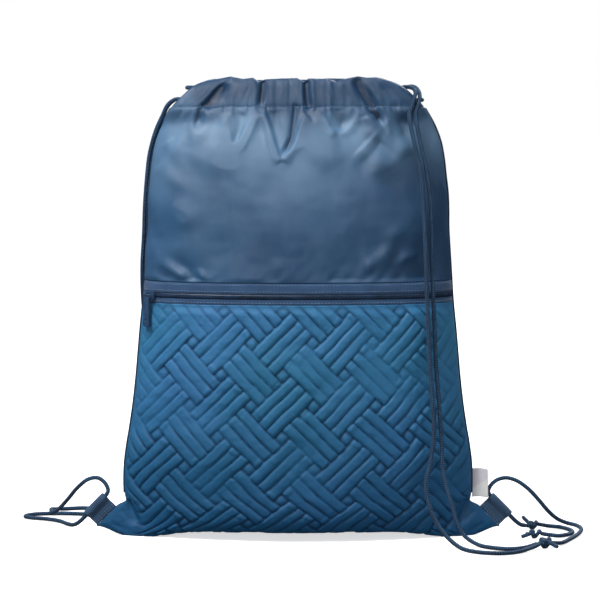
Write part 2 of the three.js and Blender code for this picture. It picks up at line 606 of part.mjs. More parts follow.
// A flat plate in the X-Z plane with round corners, from Y = far to Y = near.
function plate(width, low, high, corner, near, far) {
  const half = width / 2;
  const shape = new THREE.Shape();
  shape.moveTo(-half + corner, low);
  shape.lineTo(half - corner, low);
  shape.quadraticCurveTo(half, low, half, low + corner);
  shape.lineTo(half, high - corner);
  shape.quadraticCurveTo(half, high, half - corner, high);
  shape.lineTo(-half + corner, high);
  shape.quadraticCurveTo(-half, high, -half, high - corner);
  shape.lineTo(-half, low + corner);
  shape.quadraticCurveTo(-half, low, -half + corner, low);
  const options = { depth: near - far, steps: 1, bevelEnabled: false, curveSegments: 3 };
  const geometry = new THREE.ExtrudeGeometry(shape, options);
  geometry.rotateX(Math.PI / 2);
  geometry.translate(0, near, 0);
  return geometry;
}

// Body plate with a staple on it, whose bar carries the pull.
function zipSlider() {
  const half = SLIDER_LENGTH / 2;
  const body = plate(SLIDER_LENGTH, -SLIDER_WIDTH / 2, SLIDER_WIDTH / 2, 1.6, bodyFace, bodyTop);
  const outside = barAt - BRIDGE_THICK / 2;
  const staple = new THREE.Shape();
  staple.moveTo(-half * 0.86, bodyTop + GAP);
  staple.lineTo(half * 0.86, bodyTop + GAP);
  staple.lineTo(half * 0.66, outside);
  staple.lineTo(-half * 0.66, outside);
  const eye = new THREE.Path();
  eye.moveTo(-half * 0.5, bodyTop);
  eye.lineTo(-half * 0.4, barAt + BRIDGE_THICK / 2);
  eye.lineTo(half * 0.4, barAt + BRIDGE_THICK / 2);
  eye.lineTo(half * 0.5, bodyTop);
  staple.holes.push(eye);
  const options = { depth: BRIDGE_THICK, steps: 1, bevelEnabled: false };
  const bridge = new THREE.ExtrudeGeometry(staple, options);
  bridge.translate(0, 0, -BRIDGE_THICK / 2);
  return joined(body, bridge);
}

// The pull in the slider's frame: a knuckle round the bar and a flat tongue hanging from it.
function zipPull() {
  const ring = new THREE.Shape();
  ring.absarc(0, 0, knuckleOut, 0, 2 * Math.PI, false);
  const hole = new THREE.Path();
  hole.absarc(0, 0, knuckleHole, 0, 2 * Math.PI, true);
  ring.holes.push(hole);
  const options = { depth: KNUCKLE_WIDTH, steps: 1, bevelEnabled: false, curveSegments: 8 };
  const knuckle = new THREE.ExtrudeGeometry(ring, options);
  knuckle.translate(0, 0, -KNUCKLE_WIDTH / 2);
  knuckle.rotateY(Math.PI / 2);
  knuckle.translate(0, barAt, 0);
  const near = barAt + PULL_THICK / 2;
  const tongue = plate(PULL_WIDTH, -PULL_LENGTH, -knuckleHole - 0.4 * KNUCKLE_WALL, 2, near, near - PULL_THICK);
  return joined(knuckle, tongue);
}

function sideLabel() {
  const reach = new THREE.Vector3(LABEL_REACH, LABEL_THICK / 2, LABEL_HEIGHT);
  const geometry = boxBetween(new THREE.Vector3(0, -LABEL_THICK / 2, 0), reach);
  geometry.rotateZ(-THREE.MathUtils.degToRad(LABEL_LEAN));
  const seamEnd = bodyRow(LABEL_RISE + LABEL_HEIGHT / 2).width;
  geometry.translate(seamEnd + LABEL_THICK / 2 + GAP, 0, LABEL_RISE);
  return geometry;
}

add('quilted_panel', quiltedPanel(), colours.quilt);
add('upper_front', frontStrip(NYLON_LOW + GAP, HEM_LOW - GAP, {
  columns: 32, rows: 7, creases: FRONT_CREASES,
}), colours.nylon);
add('back_panel', backPanel(), colours.nylon);
add('hem_front', hemTunnel(FRONT_CREASES), colours.nylon);
add('hem_back', mirrored(hemTunnel(BACK_CREASES)), colours.nylon);

const chainLow = CHAIN_MIDDLE - CHAIN_WIDTH / 2;
const chainHigh = CHAIN_MIDDLE + CHAIN_WIDTH / 2;
add('zip_tape_lower', frontStrip(POCKET_TOP, chainLow - GAP, { columns: 24 }), colours.zip);
add('zip_chain', frontStrip(chainLow, chainHigh, {
  columns: 24, wall: CHAIN_DEPTH / 2, proud: CHAIN_DEPTH - CLOTH,
}), colours.chain);
add('zip_tape_upper', frontStrip(chainHigh + GAP, NYLON_LOW, { columns: 24 }), colours.zip);

const seat = sliderSeat();
const puller = new THREE.Group();
puller.position.copy(seat.at);
puller.rotation.z = seat.turn;
bag.add(puller);
add('zip_slider', zipSlider(), colours.metal, puller);
add('zip_pull', zipPull(), colours.metal, puller);

add('tab_right', webbingTab(), colours.webbing);
add('tab_left', flipped(webbingTab()), colours.webbing);
add('side_label', sideLabel(), colours.label);

add('cord_right_hem', hemCord(1, 0.3), colours.cord);
add('cord_left_hem', hemCord(-1, 0.72), colours.cord);
add('cord_right_a', routed(RIGHT_A), colours.cord);
add('cord_right_b', routed(RIGHT_B), colours.cord);
add('cord_right_arch', routed(RIGHT_ARCH), colours.cord);
add('cord_right_loop', routed(RIGHT_LOOP), colours.cord);
add('cord_left_c', routed(LEFT_C), colours.cord);
add('cord_left_d', routed(LEFT_D), colours.cord);
for (const spec of KNOTS) add(spec.name, knot(spec), colours.cord);

export default bag;
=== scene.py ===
"""Looks for the quilted drawstring backpack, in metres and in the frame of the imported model."""
import math

import bpy
import numpy as np
from mathutils import Matrix, Vector


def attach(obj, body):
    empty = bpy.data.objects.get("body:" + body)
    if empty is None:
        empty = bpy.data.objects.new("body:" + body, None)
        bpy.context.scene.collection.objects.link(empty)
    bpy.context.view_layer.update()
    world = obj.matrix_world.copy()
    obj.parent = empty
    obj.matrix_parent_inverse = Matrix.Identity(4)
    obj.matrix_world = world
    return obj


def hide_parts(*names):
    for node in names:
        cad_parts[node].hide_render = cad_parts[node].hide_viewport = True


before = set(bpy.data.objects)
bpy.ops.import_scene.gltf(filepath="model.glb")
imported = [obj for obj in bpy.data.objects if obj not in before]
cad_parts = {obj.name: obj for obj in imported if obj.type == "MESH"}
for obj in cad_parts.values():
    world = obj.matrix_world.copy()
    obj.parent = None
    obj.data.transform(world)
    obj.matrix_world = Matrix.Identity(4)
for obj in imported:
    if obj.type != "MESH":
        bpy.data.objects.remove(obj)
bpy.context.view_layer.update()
BAG = "bag"
MM = 0.001

# Sizes, as in the solids
HEIGHT = 428 * MM
HALF_WIDTH = 163 * MM
HALF_DEPTH = 50 * MM
BACK_FULLNESS = 1.052
FOOT_HEIGHT = 40 * MM
BASE_ARCH = 9 * MM
CLOTH = 1.2 * MM
THIN_CLOTH = 0.8 * MM
QUILT = 2.4 * MM
QUILT_EDGE = 1.6 * MM
QUILT_LOFT = 2.2 * MM
RIB_WIDTH = 10.35 * MM
BLOCK_PITCH = 4
BLOCK_REACH = 1.5
FIRST_BLOCK_OVER = 2
FIRST_ROW = 3.9 * MM
GAP = 0.3 * MM
POCKET_TOP = 222 * MM
ZIP_WIDTH = 19.5 * MM
CHAIN_WIDTH = 4.2 * MM
CHAIN_DEPTH = 2.4 * MM
CHAIN_SHARE = 0.36
COIL_PITCH = 1.5 * MM
HEM_WIDTH = 27 * MM
HEM_DEPTH = 11.6 * MM
VENT_HEIGHT = 16 * MM
VENT_CLEARANCE = 0.6 * MM
TUCK = 2.2 * MM
LAP = 0.6 * MM
SEAM_ROLL = 0.9 * MM
SEAM_OUT = 0.6 * MM
CORD = 4 * MM
CORD_MOUTH = 0.8
BRAID_PITCH = 4.2 * MM
CARRIERS = 4
SLIDER_AT = -0.832
TAB_REACH = 18 * MM
TAB_WIDTH = 25 * MM
WEBBING = 1.2 * MM
EYE_CLEARANCE = 1 * MM
TAB_STITCH = 2.8 * MM
TAB_ROWS = (1.6 * MM, 3.8 * MM)
LABEL_REACH = 16 * MM
LABEL_HEIGHT = 27 * MM
LABEL_RISE = 36 * MM
LABEL_LEAN = 20
SATIN_THICK = 0.18 * MM
STRAND = 0.47 * CORD
KNOT_TURNS = 2.3
KNOT_WIDTH = 8.4 * MM
KNOT_REACH = 7.2 * MM
CORD_STEP = 1.2 * MM
TAIL_STEP = 0.9 * MM
FINE_STEP = 0.35 * MM
FRONT_STEP = 1.25 * MM
BACK_STEP = 1.9 * MM

# Half of the length across each panel that its columns are counted from, and how far gathers reach
POCKET_ACROSS = 178 * MM
FRONT_ACROSS = 165 * MM
BACK_ACROSS = 170 * MM
GATHERED = 118 * MM

HEM_LOW = HEIGHT - HEM_WIDTH
VENT_DEPTH = HEM_DEPTH + VENT_CLEARANCE
NYLON_LOW = POCKET_TOP + ZIP_WIDTH
CHAIN_MIDDLE = POCKET_TOP + CHAIN_SHARE * ZIP_WIDTH

# Sections: height of HEIGHT, width of HALF_WIDTH, depth of HALF_DEPTH, bulge of the side
SECTIONS = [
    (0.0935, 1.0, 0.93, 1.7), (0.15, 0.999, 0.96, 1.4), (0.201, 0.983, 0.97, 1.2),
    (0.257, 0.958, 0.98, 1.08), (0.329, 0.933, 0.99, 0.98), (0.392, 0.917, 1.0, 0.92),
    (0.456, 0.902, 1.0, 0.88), (0.519, 0.885, 1.0, 0.86), (0.584, 0.874, 1.0, 0.85),
    (0.68, 0.858, 0.98, 0.84), (0.743, 0.855, 0.93, 0.83), (0.785, 0.843, 0.87, 0.82),
    (0.825, 0.831, 0.8, 0.82), (0.862, 0.813, 0.72, 0.82), (0.897, 0.779, 0.64, 0.82),
    (0.93, 0.735, 0.57, 0.82), (0.967, 0.647, 0.5, 0.82), (0.9925, 0.55, 0.46, 0.82),
    (1.0, 0.475, 0.44, 0.82),
]
# Foot: depth of HALF_DEPTH, rise of FOOT_HEIGHT, reach of HALF_WIDTH, lift of FOOT_HEIGHT, bulge
FOOT = [
    (0.0, 0.0, 1.165, 0.2, 2.2), (0.26, 0.0, 1.125, 0.367, 2.2), (0.52, 0.0, 1.085, 0.533, 2.2),
    (0.7, 0.08, 1.045, 0.7, 2.1), (0.83, 0.3, 0.998, 0.8, 1.95), (0.9, 0.62, 0.996, 0.89, 1.8),
]

# Cord routes in millimetres, as in the solids
RIGHT_A = [
    (94.4, -11.2, 420), (98.8, -9.8, 420.6), (103.2, -10.1, 420.4), (106.8, -12.4, 418.9),
    (108.3, -16.3, 416), (107.5, -20.5, 411.9), (105.5, -24.3, 406.2), (103.6, -26.8, 400.4),
    (102.4, -27.6, 397), (103, -30.6, 388), (105.2, -34, 376.5), (108.8, -37.4, 360),
    (113, -40, 340), (115.3, -42.5, 309), (117, -43.5, 273), (118, -44, 238), (119.5, -44.5, 208),
    (121.5, -45, 164), (124.3, -46, 129), (125.4, -47, 102), (122, -49, 76), (118, -53, 60),
    (119, -56.5, 45), (125, -61, 27), (135, -66, 12), (147, -77, 3), (160, -96, 2.2),
    (182, -104, 2.2), (200, -96, 2.2), (212, -84, 3.2), (220.2, -76.1, 4.8),
]
RIGHT_B = [
    (94.4, 11.2, 420), (98.6, 10.5, 420.1), (101.9, 8.2, 420.4), (104.2, 4.6, 420.8),
    (105.7, 0, 421), (108.4, -4.4, 420.2), (111.1, -9.6, 417.2), (112.3, -15.2, 412.6),
    (111.2, -20.8, 406), (108.2, -25.2, 396.5), (109.6, -29, 383), (113, -32.2, 367),
    (117.3, -34.5, 348), (120.5, -36.5, 326), (122.3, -38, 300), (123, -38, 265),
    (124, -38.5, 238), (125.4, -39, 208), (127.4, -40, 163), (130.4, -41, 128), (132.4, -42, 101),
    (133.6, -44, 73), (136, -48, 57), (142, -53, 37), (146, -56, 23), (153, -59, 10),
    (165, -65, 2.8), (180, -79, 2.2), (195, -83, 2.2), (208, -78.5, 2.8), (218.5, -72, 4.8),
]
RIGHT_ARCH = [
    (231.9, -66.8, 4.8), (242, -56, 2.6), (254, -32, 2.2), (264, -6, 2.2), (269, 18, 2.2),
    (266, 33, 2.6), (257, 33, 5), (247, 24, 10.5), (237, 14, 20), (228, 8, 31), (217, 3.5, 43),
    (206, 1, 51), (196, 0, 54), (187.5, 0, 52), (181.6, 0, 47), (179.2, 0, 41.6),
    (180.7, 0, 37.6), (190.2, 0, 27.9), (199.8, 0, 18.1), (205, 3.5, 12.6), (210.5, 11, 7.6),
    (216, 19.9, 4.8),
]
RIGHT_LOOP = [
    (228.7, 27.8, 4.8), (238, 31, 2.6), (249, 27, 2.2), (257, 14, 2.2), (259, 0, 2.2),
    (253, -12, 2.2), (243, -19, 2.4), (234, -20.5, 3.6), (227.1, -21, 4.8),
]
LEFT_C = [
    (-107.3, -11.2, 408.6), (-113.5, -9, 409), (-120.4, -7.5, 404), (-125.5, -4.5, 394),
    (-130.7, -2.5, 383), (-134.8, -1, 371), (-138.4, 0.5, 356), (-140.8, 1.5, 335),
    (-142.8, 3, 310), (-144, 5, 282), (-145.8, 8, 255), (-146, 16, 225), (-144, 27, 190),
    (-141.5, 36, 150), (-141, 42, 110), (-142, 48, 70), (-145, 54, 35), (-151, 61, 12),
    (-162, 70, 2.8), (-180, 83, 2.2), (-201, 93, 2.2), (-224, 99, 2.2), (-247, 99, 2.2),
    (-262, 93, 2.2), (-266, 83, 2.2), (-257, 75, 2.2), (-243, 69, 2.2), (-230, 58, 2.2),
    (-221, 43, 2.2), (-214, 26, 4.5), (-206, 6, 11.5), (-199.8, 0, 18.1), (-190.2, 0, 27.9),
    (-180.7, 0, 37.6), (-178.8, 0.6, 42), (-181.8, 2.5, 48.5), (-188.5, 5, 53), (-198, 10, 51),
    (-209, 20, 41.5), (-220, 36, 27.5), (-231, 58, 14), (-239, 78, 7.4), (-242, 97, 6.8),
    (-240, 114, 4), (-231, 126, 2.2), (-212, 130, 2.2), (-192, 121, 2.2), (-176, 107, 2.6),
    (-167.8, 98, 4.9),
]
LEFT_D = [
    (-107.3, 11.2, 408.6), (-113.5, 9, 409), (-120.6, 8.6, 403.6), (-126, 7.7, 393),
    (-131.2, 6.5, 381.5), (-135.4, 6, 369), (-138.8, 6.7, 352), (-141, 8, 330), (-142.6, 10, 306),
    (-143.4, 12.5, 280), (-143.8, 16, 255), (-141, 26, 225), (-137, 36, 190), (-134, 43, 150),
    (-133, 48, 110), (-133, 52.5, 70), (-134, 58, 35), (-138, 68, 14), (-146, 78, 5.4),
    (-158.3, 87.2, 4.9),
]
# Knots: name, place, direction of the cord, radius
KNOTS = [
    ("knot_right_pair", (225.5, -70.5, 5.7), (0.87, 0.5, 0.0), 5.6),
    ("knot_right_a", (222.4, 24.1, 4.8), (0.85, 0.53, 0.0), 4.6),
    ("knot_right_b", (220.3, -21.5, 4.8), (1.0, 0.07, 0.0), 4.6),
    ("knot_left", (-163.0, 92.6, 4.9), (0.66, -0.755, 0.0), 4.6),
]
# Cut ends that stand out of the knots, in millimetres
TAILS = {
    "tail_right_pair": [(229.0, -73.5, 6.4), (233.5, -77.0, 4.8), (237.0, -79.5, 3.0)],
    "tail_right_a": [(219.5, 27.5, 6.5), (216.5, 31.5, 9.0), (215.0, 34.5, 10.5)],
    "tail_right_b": [(216.5, -23.5, 5.0), (211.5, -25.0, 3.4), (208.5, -25.4, 2.6)],
    "tail_left": [(-159.5, 89.0, 5.5), (-155.5, 84.5, 3.6), (-153.0, 81.5, 2.6)],
}

# Folds of the plain front, in millimetres. Each is a line of (x, z) points with a depth (below 0 is
# a valley), two widths and how far it fades out. The widths are those on the left and on the right of
# a line that goes down, or below and above one that goes right.
FRONT_FOLDS = [
    (((-66, 424), (-80, 409), (-90, 399), (-95, 377)), -4.2, 3.2, 7.0, 0.3),
    (((-84, 404), (-93, 384), (-97, 362)), 1.8, 7.0, 8.0, 0.5),
    (((-32, 428), (-33, 414), (-35, 402)), -4.6, 2.2, 2.8, 0.25),
    (((-31, 400), (-19, 358), (-14.5, 352)), 2.3, 5.0, 2.0, 0.1),
    (((9, 396), (-3, 368), (-14.5, 352)), 2.3, 2.4, 5.0, 0.1),
    (((-2, 406), (-6, 375), (-13.5, 358)), -2.8, 2.4, 3.4, 0.2),
    (((-24, 400), (-18, 376), (-15, 362)), -1.1, 6.0, 6.0, 0.3),
    (((7.5, 428), (7.5, 412), (11, 399)), -4.8, 2.2, 3.2, 0.25),
    (((-37, 400), (-47, 378), (-58, 361)), 2.2, 3.2, 5.0, 0.2),
    (((-50, 398), (-54, 380), (-58, 366)), -1.7, 5.0, 3.4, 0.25),
    (((-66, 398), (-66, 380), (-60, 362)), 1.2, 5.0, 4.0, 0.4),
    (((17, 400), (27, 384), (36, 375)), 1.4, 5.0, 4.0, 0.2),
    (((61, 400), (48, 384), (36, 375)), 1.4, 4.0, 5.0, 0.2),
    (((36, 402), (38, 388), (37, 378)), -1.3, 9.0, 9.0, 0.3),
    (((52, 428), (62, 409), (72, 395), (79, 385)), -5.2, 3.4, 6.0, 0.2),
    (((57, 416), (60, 408), (63, 400)), 2.2, 2.2, 2.0, 0.4),
    (((66, 396), (70, 384), (66, 370)), 2.4, 9.0, 8.0, 0.4),
    (((79, 372), (66, 356), (50, 343)), -2.0, 5.0, 16.0, 0.4),
    (((70, 421), (81, 390), (88, 369)), 2.0, 3.0, 5.0, 0.4),
    (((88, 408), (97, 385), (101, 362)), -1.6, 5.0, 6.0, 0.4),
    (((-130, 263), (-114, 252), (-98, 243)), 1.9, 4.0, 6.0, 0.3),
    (((-120, 266), (-104, 255), (-90, 245)), -1.3, 5.0, 6.0, 0.4),
    (((-134, 256), (-124, 247), (-114, 242)), -1.3, 5.0, 5.0, 0.4),
    (((-96, 256), (-88, 248), (-82, 243)), 1.4, 3.0, 4.0, 0.4),
    (((-135, 300), (-128, 275), (-124, 262)), -1.6, 7.0, 9.0, 0.6),
    (((60, 276), (64, 258), (66, 243)), 0.9, 5.0, 6.0, 0.5),
    (((78, 280), (82, 260), (84, 243)), 1.1, 5.0, 6.0, 0.5),
    (((96, 276), (99, 258), (101, 243)), 1.0, 4.0, 5.0, 0.5),
    (((-20, 268), (-18, 254), (-16, 243)), 0.7, 6.0, 7.0, 0.6),
    (((20, 272), (24, 256), (26, 243)), 0.7, 6.0, 7.0, 0.6),
    (((104, 372), (84, 352), (58, 340)), 2.6, 16.0, 9.0, 0.3),
    (((122, 350), (96, 334), (70, 318)), -2.2, 18.0, 34.0, 0.4),
    (((93, 283), (76, 266), (59, 250)), 1.8, 6.0, 7.0, 0.3),
    (((104, 300), (88, 286), (74, 278)), 1.4, 8.0, 8.0, 0.4),
    (((88, 256), (98, 264), (112, 268)), 1.2, 4.0, 5.0, 0.4),
    (((-116, 322), (-106, 304), (-94, 288)), 1.5, 9.0, 11.0, 0.4),
    (((-126, 316), (-120, 292), (-112, 270)), -1.2, 9.0, 10.0, 0.4),
    (((-116, 372), (-82, 354), (-34, 350)), 2.2, 12.0, 30.0, 0.4),
    (((0, 374), (24, 358), (50, 364)), 2.0, 12.0, 24.0, 0.4),
    (((58, 368), (72, 354), (86, 352)), 1.8, 9.0, 20.0, 0.4),
    (((-130, 350), (-112, 334), (-86, 326)), 1.1, 8.0, 10.0, 0.6),
    (((-122, 372), (-108, 352), (-96, 340)), 1.0, 6.0, 8.0, 0.6),
]
# Share of its length over which a fold rises. Wrinkles that start below LOW_FOLDS rise slowly.
LEAD_IN, LOW_LEAD_IN = 0.12, 0.55
LOW_FOLDS = 330 * MM
# Bumps of the folded top edge across the bag: x and height in millimetres
TOP_BUMPS = [
    (-118, 0.0), (-96, 0.4), (-78, -0.6), (-62, 2.4), (-50, 0.2), (-41, 1.3), (-36, -2.4), (-30, -0.2),
    (-14, 0.6), (0, 0.9), (5, -2.6), (10, 0.6), (26, 0.2), (35, -1.8), (44, 0.4), (55, 2.6), (64, 1.4),
    (72, 1.8), (84, 0.6), (98, -0.4), (118, 0.0),
]
# Creases of the right corner, with the columns of the folds
EAR_CREASES = [
    (((160, 36), (156.5, 24), (149, 11)), -4.4, 2.6, 5.0, 0.2),
    (((166, 25), (160, 17), (152, 12)), -1.2, 2.0, 2.6, 0.4),
    (((176, 12), (168, 8), (158, 5)), -0.7, 2.0, 3.0, 0.5),
]
# Random waves of the cloth: step across, step up and height in millimetres, and the seed
FRONT_SOFT = [(52, 60, 2.4, 22), (24, 30, 1.1, 23)]
FRONT_FINE = [(9, 16, 0.18, 24), (13, 7, 0.12, 25)]
BACK_SOFT = [(70, 55, 2.2, 33), (26, 40, 0.9, 34)]
BACK_FINE = [(12, 18, 0.22, 35)]
POCKET_FINE = [(7, 7, 0.28, 11)]
POCKET_SOFT = [(42, 34, 0.9, 12)]
HEM_FINE = (5, 22, 0.35)
TAPE_FINE = [(9, 30, 0.16, 61)]
# Seeds of the hems' ripple
FRONT_SEED, BACK_SEED = 41, 51


def smoothstep(value, low, high):
    share = np.clip((value - low) / (high - low), 0.0, 1.0)
    return share * share * (3 - 2 * share)


def unit(vectors):
    """Vectors of length 1 in the same directions."""
    return vectors / np.maximum(np.linalg.norm(vectors, axis=-1, keepdims=True), 1e-12)


def lengths_along(points):
    """Length from the first point to each point."""
    return np.concatenate([[0], np.cumsum(np.linalg.norm(np.diff(points, axis=0), axis=1))])


def at_lengths(wanted, lengths, values):
    """Rows of values, which belong to lengths, at the wanted lengths."""
    return np.stack([np.interp(wanted, lengths, column) for column in values.T], axis=-1)


def cubic(keys, values, at):
    """The curve through a table's rows that the solids use."""
    keys, values, at = (np.asarray(part, dtype=float) for part in (keys, values, at))
    last = len(keys) - 2
    i = np.clip(np.searchsorted(keys, at, side="right") - 1, 0, last)
    low, high = keys[i], keys[i + 1]
    before = np.where(i > 0, i - 1, i + 1)
    after = np.where(i < last, np.minimum(i + 2, last + 1), i)
    key_before = np.where(i > 0, keys[before], 2 * low - high)
    key_after = np.where(i < last, keys[after], 2 * high - low)
    half = (high - low) / 2
    weight_before = half / (low - key_before)
    weight_after = half / (key_after - high)
    p = (at - low) / (high - low)
    share_before = weight_before * (-p**3 + 2 * p**2 - p)
    share_low = ((1 + weight_before) * p**3 - (1.5 + 2 * weight_before) * p**2
                 + (weight_before - 0.5) * p + 1)
    share_high = (-1 - weight_after) * p**3 + (1.5 + weight_after) * p**2 + 0.5 * p
    share_after = weight_after * (p**3 - p**2)
    return (share_before[:, None] * values[before] + share_low[:, None] * values[i]
            + share_high[:, None] * values[i + 1] + share_after[:, None] * values[after])


def profile_table():
    """Rows of width, depth, bulge, height of the middle and of the ends, by length up the cloth."""
    rows = [(reach * HALF_WIDTH, depth * HALF_DEPTH, bulge, rise * FOOT_HEIGHT, lift * FOOT_HEIGHT)
            for depth, rise, reach, lift, bulge in FOOT]
    rows += [(width * HALF_WIDTH, depth * HALF_DEPTH, bulge, height * HEIGHT, height * HEIGHT)
             for height, width, depth, bulge in SECTIONS]
    keys = [0.0]
    for low, high in zip(rows, rows[1:]):
        inside_body = low[3] >= 0.99 * SECTIONS[0][0] * HEIGHT
        step = high[3] - low[3] if inside_body else math.hypot(high[1] - low[1], high[3] - low[3])
        keys.append(keys[-1] + step)
    return np.array(keys), np.array(rows)


KEYS, ROWS = profile_table()
BODY_START = KEYS[len(FOOT)] - SECTIONS[0][0] * HEIGHT


def up_the_cloth(height):
    """Length up the cloth from the bottom seam to a height above the foot."""
    return BODY_START + height


def section_at(height):
    """Width, depth and bulge of the section at a height above the foot."""
    return cubic(KEYS, ROWS, [up_the_cloth(height)])[0][:3]


def even_shares(half, step):
    """Shares across a panel, from -1 at its left edge to 1 at its right edge."""
    return np.linspace(-1, 1, 2 * int(half / step) + 1)


def noise_field(x, y, step_x, step_y, seed):
    """Smooth random waves between -1 and 1 with steps of the given lengths."""
    size = 97
    lattice = np.random.default_rng(seed).uniform(-1, 1, (size, size))
    grid_x, grid_y = np.broadcast_arrays(x / step_x, y / step_y)
    left, low = np.floor(grid_x).astype(int), np.floor(grid_y).astype(int)
    fade_x, fade_y = smoothstep(grid_x - left, 0, 1), smoothstep(grid_y - low, 0, 1)
    rows = []
    for j in (0, 1):
        first, second = (lattice[(left + i) % size, (low + j) % size] for i in (0, 1))
        rows.append(first * (1 - fade_x) + second * fade_x)
    return rows[0] * (1 - fade_y) + rows[1] * fade_y


def waves(x, y, table):
    """Sum of a table's random waves."""
    return sum(height * MM * noise_field(x, y, across * MM, up * MM, seed)
               for across, up, height, seed in table)


class Face:
    """A patch of the front's outer face. Its rows go up the cloth and its columns across."""

    def __init__(self, lengths, shares, level, cloth=CLOTH):
        self.up = np.asarray(lengths)[:, None]
        width, depth, bulge, middle, end = (column[:, None] for column in cubic(KEYS, ROWS, lengths).T)
        angle, half = self.spread(shares, level)
        self.along = half * np.asarray(shares)[None, :] + 0 * self.up
        across, cosine = np.sin(angle)[None, :], np.maximum(np.cos(angle), 0)[None, :]
        vent = VENT_DEPTH * smoothstep(middle, HEM_LOW - VENT_HEIGHT, HEM_LOW) * (self.up > BODY_START)
        seam = GAP / 2 + cloth * smoothstep(self.up, 0, 3 * MM)
        self.x = width * across
        near_end = smoothstep(np.abs(across), 0.86, 1)
        arch = BASE_ARCH * (1 - smoothstep(np.abs(self.x) / HALF_WIDTH, 0.5, 1.02))
        arch = arch * np.maximum(1 - middle / FOOT_HEIGHT, 0)
        self.z = np.maximum(middle * (1 - near_end) + end * near_end + arch, 0)
        self.y = -(seam + vent + np.maximum(depth - vent, 0) * cosine**bulge)
        self.shares = np.asarray(shares)[None, :] + 0 * self.up

    @staticmethod
    def spread(shares, level):
        """Angles for even lengths across at one level, and half the length of that level."""
        width, depth, bulge = section_at(level)
        angles = np.linspace(-math.pi / 2, math.pi / 2, 721)
        section = np.stack([width * np.sin(angles), depth * np.maximum(np.cos(angles), 0)**bulge], axis=-1)
        lengths = lengths_along(section)
        half = lengths[-1] / 2
        return np.interp(half * (1 + np.asarray(shares)), lengths, angles), half

    def within(self, calm, edge=0.998):
        """1 up to a share across, falling to 0 near the sewn sides."""
        return 1 - smoothstep(np.abs(self.shares), calm, edge)

    def points(self):
        return np.stack([self.x, self.y, self.z], axis=-1)

    def normals(self):
        points = self.points()
        return unit(np.cross(np.gradient(points, axis=1), np.gradient(points, axis=0)))


def fold_field(x, z, folds, mirror=False):
    """Height of a table of folds at places of the front."""
    height = np.zeros(np.broadcast(x, z).shape)
    for line, depth, width_left, width_right, fade in folds:
        line = [(-a if mirror else a, b) for a, b in line]
        near = np.full(height.shape, 1e9)
        side = np.zeros(height.shape)
        along = np.zeros(height.shape)
        spans = [math.dist(a, b) * MM for a, b in zip(line, line[1:])]
        done = 0.0
        for (ax, az), (bx, bz), span in zip(line, line[1:], spans):
            dx, dz = (bx - ax) * MM, (bz - az) * MM
            rx, rz = x - ax * MM, z - az * MM
            raw = (rx * dx + rz * dz) / span**2
            t = np.clip(raw, 0, 1)
            away = np.hypot(rx - t * dx, rz - t * dz)
            closer = away < near
            near = np.where(closer, away, near)
            side = np.where(closer, np.sign(dx * rz - dz * rx), side)
            along = np.where(closer, (done + t * span) / sum(spans), along)
            done += span
        side = -side if mirror else side
        width = np.where(side > 0, width_right, width_left) * MM
        lead_in = LOW_LEAD_IN if POCKET_TOP < line[0][1] * MM < LOW_FOLDS else LEAD_IN
        fading = np.minimum(smoothstep(along, -0.02, lead_in), 1 - smoothstep(along, 1 - fade, 1.02))
        height += depth * MM * fading * np.exp(-(near / width)**2)
    return height


def corner_creases(face):
    """Height of the creases of both bottom corners."""
    return sum(fold_field(face.x, face.z, EAR_CREASES, mirror) for mirror in (False, True))


def gathers(x, z, depth, seed, reach, pitch):
    """Gathers that fan down from the hem's stitch line, and ripple the hem itself."""
    random = np.random.default_rng(seed)
    below = np.maximum(HEM_LOW - z, 0)
    height = np.zeros(np.broadcast(x, z).shape)
    place = -GATHERED
    while place < GATHERED:
        place += pitch * random.uniform(0.55, 1.45)
        length = reach * random.uniform(0.25, 1.0)
        lean = random.uniform(-0.22, 0.22) + 0.3 * place / GATHERED
        width = pitch * random.uniform(0.14, 0.3) + below * 0.12
        size = depth * random.uniform(0.4, 1.0) * random.choice([-1, 1])
        beside = (x - place - lean * below) / width
        height += size * np.exp(-beside**2) * np.exp(-(below / length)**1.5)
    return height


def make_mesh(name, vertices, faces, uv=None, depth=None):
    mesh = bpy.data.meshes.new(name)
    mesh.from_pydata([tuple(v) for v in vertices], [], [tuple(f) for f in faces])
    mesh.update()
    if uv is not None:
        layer = mesh.uv_layers.new(name="cloth")
        corner = np.empty(len(mesh.loops), dtype=np.int32)
        mesh.loops.foreach_get("vertex_index", corner)
        layer.data.foreach_set("uv", np.asarray(uv, dtype=np.float32)[corner].ravel())
    # depth holds a per-vertex shade factor: painted shade in creases and stitch lines, read by the
    # materials.
    if depth is not None:
        layer = mesh.attributes.new("painted_shade", "FLOAT", "POINT")
        layer.data.foreach_set("value", np.asarray(depth, dtype=np.float32).ravel())
    mesh.polygons.foreach_set("use_smooth", np.ones(len(mesh.polygons), dtype=bool))
    piece = bpy.data.objects.new(name, mesh)
    bpy.context.scene.collection.objects.link(piece)
    return piece


def quads(rows, columns, start=0, flip=False, closed=False):
    """Faces of a grid of vertices."""
    last = columns if closed else columns - 1
    r, c = np.meshgrid(np.arange(rows - 1), np.arange(last), indexing="ij")
    after = (c + 1) % columns
    corners = [r * columns + c, r * columns + after, (r + 1) * columns + after, (r + 1) * columns + c]
    faces = start + np.stack([corner.ravel() for corner in corners], axis=-1)
    return faces[:, ::-1] if flip else faces


